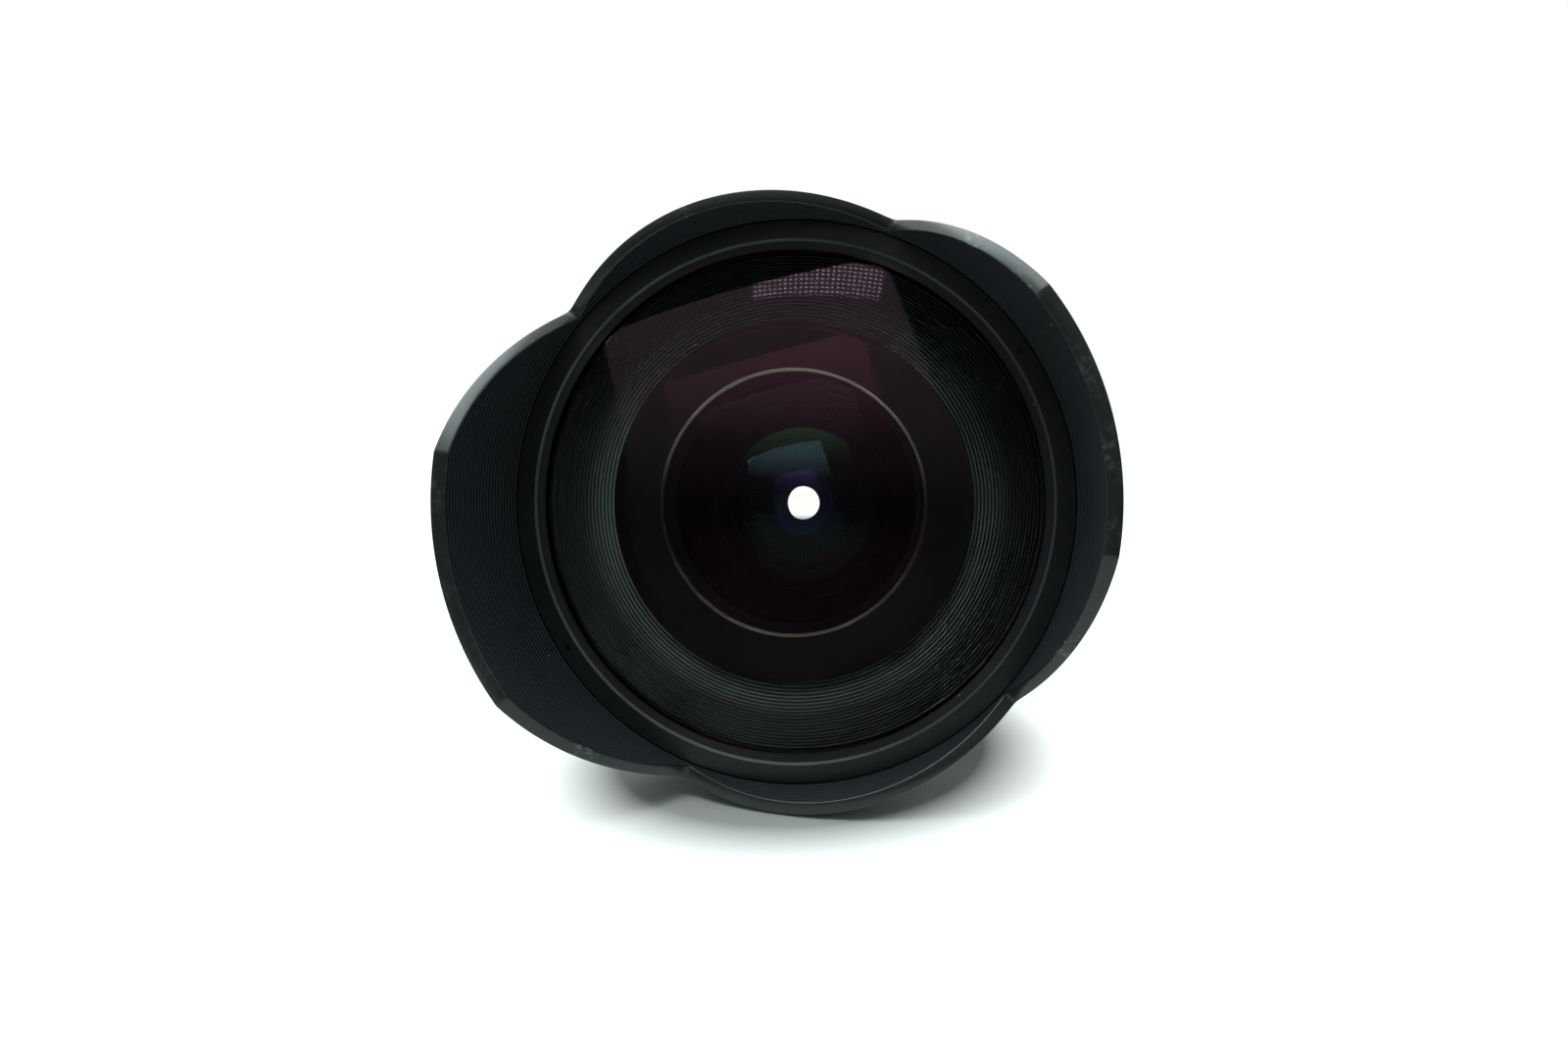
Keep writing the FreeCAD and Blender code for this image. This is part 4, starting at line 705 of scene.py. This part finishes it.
def distance_scales():
    """Distances stand where the ring's turn goes with the inverse of the distance."""
    level, height, low, high, width = 30.6, 2.0, 28.3, 29.2, 0.25
    turns = [FOCUS_TURN * CLOSEST / distance for _, distance in METRES]
    far = [focus_text(text, turn, level, height) for (text, _), turn in zip(METRES, turns)]
    far += [bar_mesh(turn, low, high, FOCUS_RADIUS, FOCUS_RADIUS, width) for turn in turns]
    far.append(focus_text("m", FOCUS_TURN + UNIT_GAP, level, 1.8))
    marks("distance_metres", far, "focus_ring", WHITE_FILL)
    level, height = 26.7, 1.7
    near = [focus_text(text, FOCUS_TURN * CLOSEST / (feet * FOOT), level, height)
            for text, feet in FEET]
    near.append(focus_text("ft", FOCUS_TURN + UNIT_GAP, level, height))
    marks("distance_feet", near, "focus_ring", AMBER_FILL)


def depth_marks():
    """Index line and depth-of-field marks on the index collar."""
    low, line_low, high, level = 17.2, 22.6, 24.2, 20.9
    lines = [bar_mesh(0.0, low, high, collar_radius(low), collar_radius(high), 0.35)]
    for text, spread in DEPTHS:
        for side in (-1.0, 1.0):
            angle = side * spread
            lines.append(bar_mesh(angle, line_low, high, collar_radius(line_low),
                                  collar_radius(high), 0.2))
            lines.append(text_mesh(text, angle + side * 0.4, level, collar_radius(level) + 0.05,
                                   1.5))
    marks("depth_marks", lines, "lens_body", WHITE_FILL)


def mount_index():
    """Red dot that is matched with the camera's own when the lens is mounted."""
    level, size, corners = 4.4, 0.9, 32
    radius = MOUNT_RADIUS + INK_HEIGHT
    points = []
    for i in range(corners):
        a = 2 * math.pi * i / corners
        turn = size * math.cos(a) / MOUNT_RADIUS
        points.append((radius * math.cos(turn), radius * math.sin(turn),
                       level + size * math.sin(a)))
    marks("mount_index", [(points, [tuple(range(corners))])], "lens_body", RED_FILL)


# Studio: the floor touches the short petal and the grip's rear edge (level, depth below axis)
PETAL_TOUCH, GRIP_TOUCH = (77.2, 42.95), (32.8, 38.5)
FLOOR_SLOPE = (PETAL_TOUCH[1] - GRIP_TOUCH[1]) / (PETAL_TOUCH[0] - GRIP_TOUCH[0])
FLOOR_SIZE, FLOOR_FRONT, FLOOR_DROP = 1.6, -0.28, 0.00005
# Ellipse round the lens where the floor is not brought to white: a painted shadow, with the lamps'
# real shadow inside it.
PAINTED_SHADOW_PLACE, PAINTED_SHADOW_REACH, PAINTED_SHADOW_EDGE = (-0.0015, -0.042), (0.037, 0.05), (0.8, 1.13)
FLOOR_TONE, FLOOR_DARK, FLOOR_GLOW = (0.33, 0.355, 0.35), (0.03, 0.033, 0.033), (0.93, 1.0, 0.985)

# Where along the floor each kind of ray meets its glow, and how strong the glow is there
THROUGH_BAND, SHARP_BAND, BLURRED_BAND = (0.08, 0.15), (0.0, 0.06), (-0.20, -0.10)
THROUGH_GLOW, SHARP_GLOW, BLURRED_GLOW = THROUGH_GLASS - 0.35, 0.5, 0.55
LAMP_TINT = (0.91, 1.0, 0.99)


def floor_paint():
    """White to the camera outside an ellipse round the lens, grey to light, dim to the front
    glass; inside the ellipse the floor stays grey, a painted shadow laid over the real shadow that
    the lamps cast there.
    """
    mat = bpy.data.materials.new("floor_white")
    mat.use_nodes = True
    graph = Graph(mat.node_tree)
    path = graph.node("ShaderNodeLightPath").outputs
    place = graph.node("ShaderNodeNewGeometry").outputs["Position"]
    along = graph.split(place)["Y"]
    scale = (1 / PAINTED_SHADOW_REACH[0], 1 / PAINTED_SHADOW_REACH[1], 0.0)
    shift = (-PAINTED_SHADOW_PLACE[0] / PAINTED_SHADOW_REACH[0], -PAINTED_SHADOW_PLACE[1] / PAINTED_SHADOW_REACH[1], 0.0)
    middle = graph.vector("MULTIPLY_ADD", place, scale, shift)["Vector"]
    reach = graph.vector("LENGTH", middle)["Value"]

    sent = path["Is Transmission Ray"]
    sharp = graph.maths("MULTIPLY", path["Is Glossy Ray"], path["Is Singular Ray"])
    blurred = graph.maths("SUBTRACT", path["Is Glossy Ray"], sharp)
    # The camera's glow is left out inside the ellipse: painted shadow there.
    camera_glow = graph.maths("MULTIPLY", path["Is Camera Ray"],
                              graph.spread(reach, *PAINTED_SHADOW_EDGE, 0.0, 1.0))
    glass_glow = graph.maths("MULTIPLY", sent,
                             graph.spread(along, *THROUGH_BAND, 0.0, THROUGH_GLOW))
    glass_dark = graph.maths("MULTIPLY", sent, graph.spread(along, *THROUGH_BAND, 1.0, 0.0))
    sharp_glow = graph.maths("MULTIPLY", sharp,
                             graph.spread(along, *SHARP_BAND, 0.0, SHARP_GLOW))
    blurred_glow = graph.maths("MULTIPLY", blurred,
                               graph.spread(along, *BLURRED_BAND, 0.0, BLURRED_GLOW))
    mirror_glow = graph.maths("MAXIMUM", sharp_glow, blurred_glow)
    mirror_dark = graph.maths("MULTIPLY", sharp, graph.spread(along, *SHARP_BAND, 1.0, 0.0))

    tone = graph.mix(graph.maths("MAXIMUM", mirror_dark, glass_dark), FLOOR_TONE, FLOOR_DARK)
    diffuse = graph.node("ShaderNodeBsdfDiffuse")
    graph.link(tone, diffuse.inputs["Color"])
    glow = graph.node("ShaderNodeEmission", Color=(*FLOOR_GLOW, 1.0))
    graph.link(graph.maths("ADD", camera_glow, graph.maths("MAXIMUM", glass_glow, mirror_glow)),
               glow.inputs["Strength"])
    both = graph.node("ShaderNodeAddShader")
    graph.feed(both, 0, (diffuse.outputs[0], glow.outputs[0]))
    graph.link(both.outputs[0], graph.node("ShaderNodeOutputMaterial").inputs["Surface"])
    return mat


def stage_piece(name, corners, face, mat):
    """A flat piece of the studio, which is no part of the lens."""
    mesh = bpy.data.meshes.new(name)
    mesh.from_pydata(corners, [], [face])
    mesh.materials.append(mat)
    piece = bpy.data.objects.new(name, mesh)
    bpy.context.scene.collection.objects.link(piece)
    return piece


def floor():
    """White floor under the lens, sloping as the lens lies on its hood and its grip."""
    at_mount = (GRIP_TOUCH[1] - FLOOR_SLOPE * GRIP_TOUCH[0]) * MM
    size = FLOOR_SIZE
    corners = [(x, y, FLOOR_SLOPE * y - at_mount - FLOOR_DROP) for x, y in
               ((-size, FLOOR_FRONT), (size, FLOOR_FRONT), (size, size), (-size, size))]
    stage_piece("floor", corners, (0, 1, 2, 3), floor_paint())


def world():
    """White behind the lens for the camera, glass and metal; a dim room in front of it."""
    studio = bpy.data.worlds.new("studio")
    bpy.context.scene.world = studio
    studio.use_nodes = True
    graph = Graph(studio.node_tree)
    towards = graph.node("ShaderNodeTexCoord").outputs["Generated"]
    sides = graph.split(towards)
    path = graph.node("ShaderNodeLightPath").outputs
    behind = graph.spread(sides["Y"], -0.05, 0.05, 0.0, 1.0)
    room = graph.spread(sides["Z"], -0.2, 1.0, ROOM_LOW, ROOM_HIGH)
    in_front = graph.pick(path["Is Singular Ray"],
                          graph.spread(sides["Z"], 0.0, 0.3, BLURRED_LOW, BLURRED_HIGH),
                          graph.spread(sides["Z"], 0.0, 0.8, MIRROR_LOW, MIRROR_HIGH))
    mirrored = graph.pick(behind, in_front, 1.0)
    in_glass = graph.spread(sides["Z"], 0.45, 0.90, GLASS_LOW, GLASS_HIGH)
    aimed = graph.vector("DOT_PRODUCT", towards, SCATTER_AIM)["Value"]
    scattered = graph.pick(path["Diffuse Depth"], in_glass,
                           graph.spread(aimed, 0.87, 1.0, SCATTER_LOW, SCATTER_HIGH))
    through = graph.pick(behind, scattered, THROUGH_GLASS)
    level = graph.pick(path["Is Glossy Ray"], room, mirrored)
    level = graph.pick(path["Is Transmission Ray"], level, through)
    level = graph.pick(path["Is Camera Ray"], level, 1.0)
    back = graph.node("ShaderNodeBackground", Color=(1.0, 1.0, 1.0, 1.0))
    graph.link(level, back.inputs["Strength"])
    graph.link(back.outputs[0], graph.node("ShaderNodeOutputWorld").inputs["Surface"])


def aim(item, place, target):
    """Puts a lamp or panel at a place and turns its front to a target."""
    item.location = place
    direction = Vector(target) - Vector(place)
    item.rotation_euler = direction.to_track_quat("-Z", "Y").to_euler()


def lamp(name, place, target, size, power, turn=0.0):
    """Soft box that no glass shows."""
    data = bpy.data.lights.new(name, "AREA")
    data.shape = "RECTANGLE"
    data.size, data.size_y = size
    data.energy = power
    data.color = LAMP_TINT
    item = bpy.data.objects.new(name, data)
    item.visible_transmission = False
    aim(item, place, target)
    item.rotation_euler.rotate_axis("Z", math.radians(turn))
    bpy.context.scene.collection.objects.link(item)


def lamps():
    """A large box overhead, turned as the lens lies, and a small one on each side."""
    lamp("top_box", (-0.31, -0.125, 0.72), (-0.31, -0.125, 0), (0.77, 0.59), 7.4, -36.0)
    lamp("left_box", (-0.75, -0.10, 0.35), (0, -0.06, 0), (0.5, 0.7), 1.2)
    lamp("right_box", (0.61, 0.05, 0.35), (0, -0.06, 0), (0.4, 0.4), 1.2)


def panel_paint():
    """Rows of bright dots where the panel is mirrored, and one plain level as a lamp."""
    mat = bpy.data.materials.new("lamp_panel_glow")
    mat.use_nodes = True
    graph = Graph(mat.node_tree)
    dots = graph.node("ShaderNodeTexVoronoi", Scale=150.0, Randomness=0.0)
    graph.link(graph.node("ShaderNodeTexCoord").outputs["Object"], dots.inputs["Vector"])
    rows = graph.spread(dots.outputs["Distance"], 0.30, 0.20, 0.7, 6.0)
    level = graph.pick(graph.node("ShaderNodeLightPath").outputs["Is Singular Ray"],
                       PANEL_LIGHT, rows)
    glow = graph.node("ShaderNodeEmission")
    graph.link(level, glow.inputs["Strength"])
    graph.link(glow.outputs[0], graph.node("ShaderNodeOutputMaterial").inputs["Surface"])
    return mat


def lamp_panel():
    """Panel of small lamps above the camera, which the front glass mirrors as rows of dots."""
    wide, high = 0.085, 0.026
    corners = [(-wide, -high, 0), (wide, -high, 0), (wide, high, 0), (-wide, high, 0)]
    piece = stage_piece("lamp_panel", corners, (0, 3, 2, 1), panel_paint())
    aim(piece, (0.0, -0.243, 0.279), (0.0, -0.0786, 0.02))
    piece.visible_transmission = False


# Camera, fitted to the photograph
CAMERA_PLACE = (0.02284, -0.24595, -0.00037)
CAMERA_FORWARD = Vector((-0.1326, 0.9911, -0.0144)).normalized()
CAMERA_UP = Vector((0.0, 0.0145, 0.9999))
FOCAL_PIXELS, WIDTH_PIXELS, SENSOR, NEAREST = 1263.0, 1600.0, 36.0, 0.005


def camera():
    """Camera at the photograph's place, with its angle of view."""
    data = bpy.data.cameras.new("camera")
    data.sensor_width = SENSOR
    data.lens = FOCAL_PIXELS / WIDTH_PIXELS * SENSOR
    data.clip_start = NEAREST
    item = bpy.data.objects.new("camera", data)
    right = CAMERA_FORWARD.cross(CAMERA_UP).normalized()
    up = right.cross(CAMERA_FORWARD)
    turn = Matrix((right, up, -CAMERA_FORWARD)).transposed().to_4x4()
    item.matrix_world = Matrix.Translation(CAMERA_PLACE) @ turn
    bpy.context.scene.collection.objects.link(item)
    bpy.context.scene.camera = item


def bounces():
    """Enough bounces for light to pass fourteen elements both ways."""
    cycles = bpy.context.scene.cycles
    cycles.max_bounces = cycles.transmission_bounces = 48
    cycles.transparent_max_bounces = 32
    cycles.glossy_bounces = 6


dress_solids()
dress_ring()
dress_glass(GLASS_THIN, *["element_%02d" % i for i in range(4, 14)])
dress_glass(GLASS_REAR, "element_14")
hood()
ribbed_baffle()
front_glasses()
second_ring()
aperture_numbers()
distance_scales()
depth_marks()
mount_index()
floor()
world()
lamps()
lamp_panel()
camera()
bpy.context.scene.view_settings.view_transform = "Standard"
bounces()
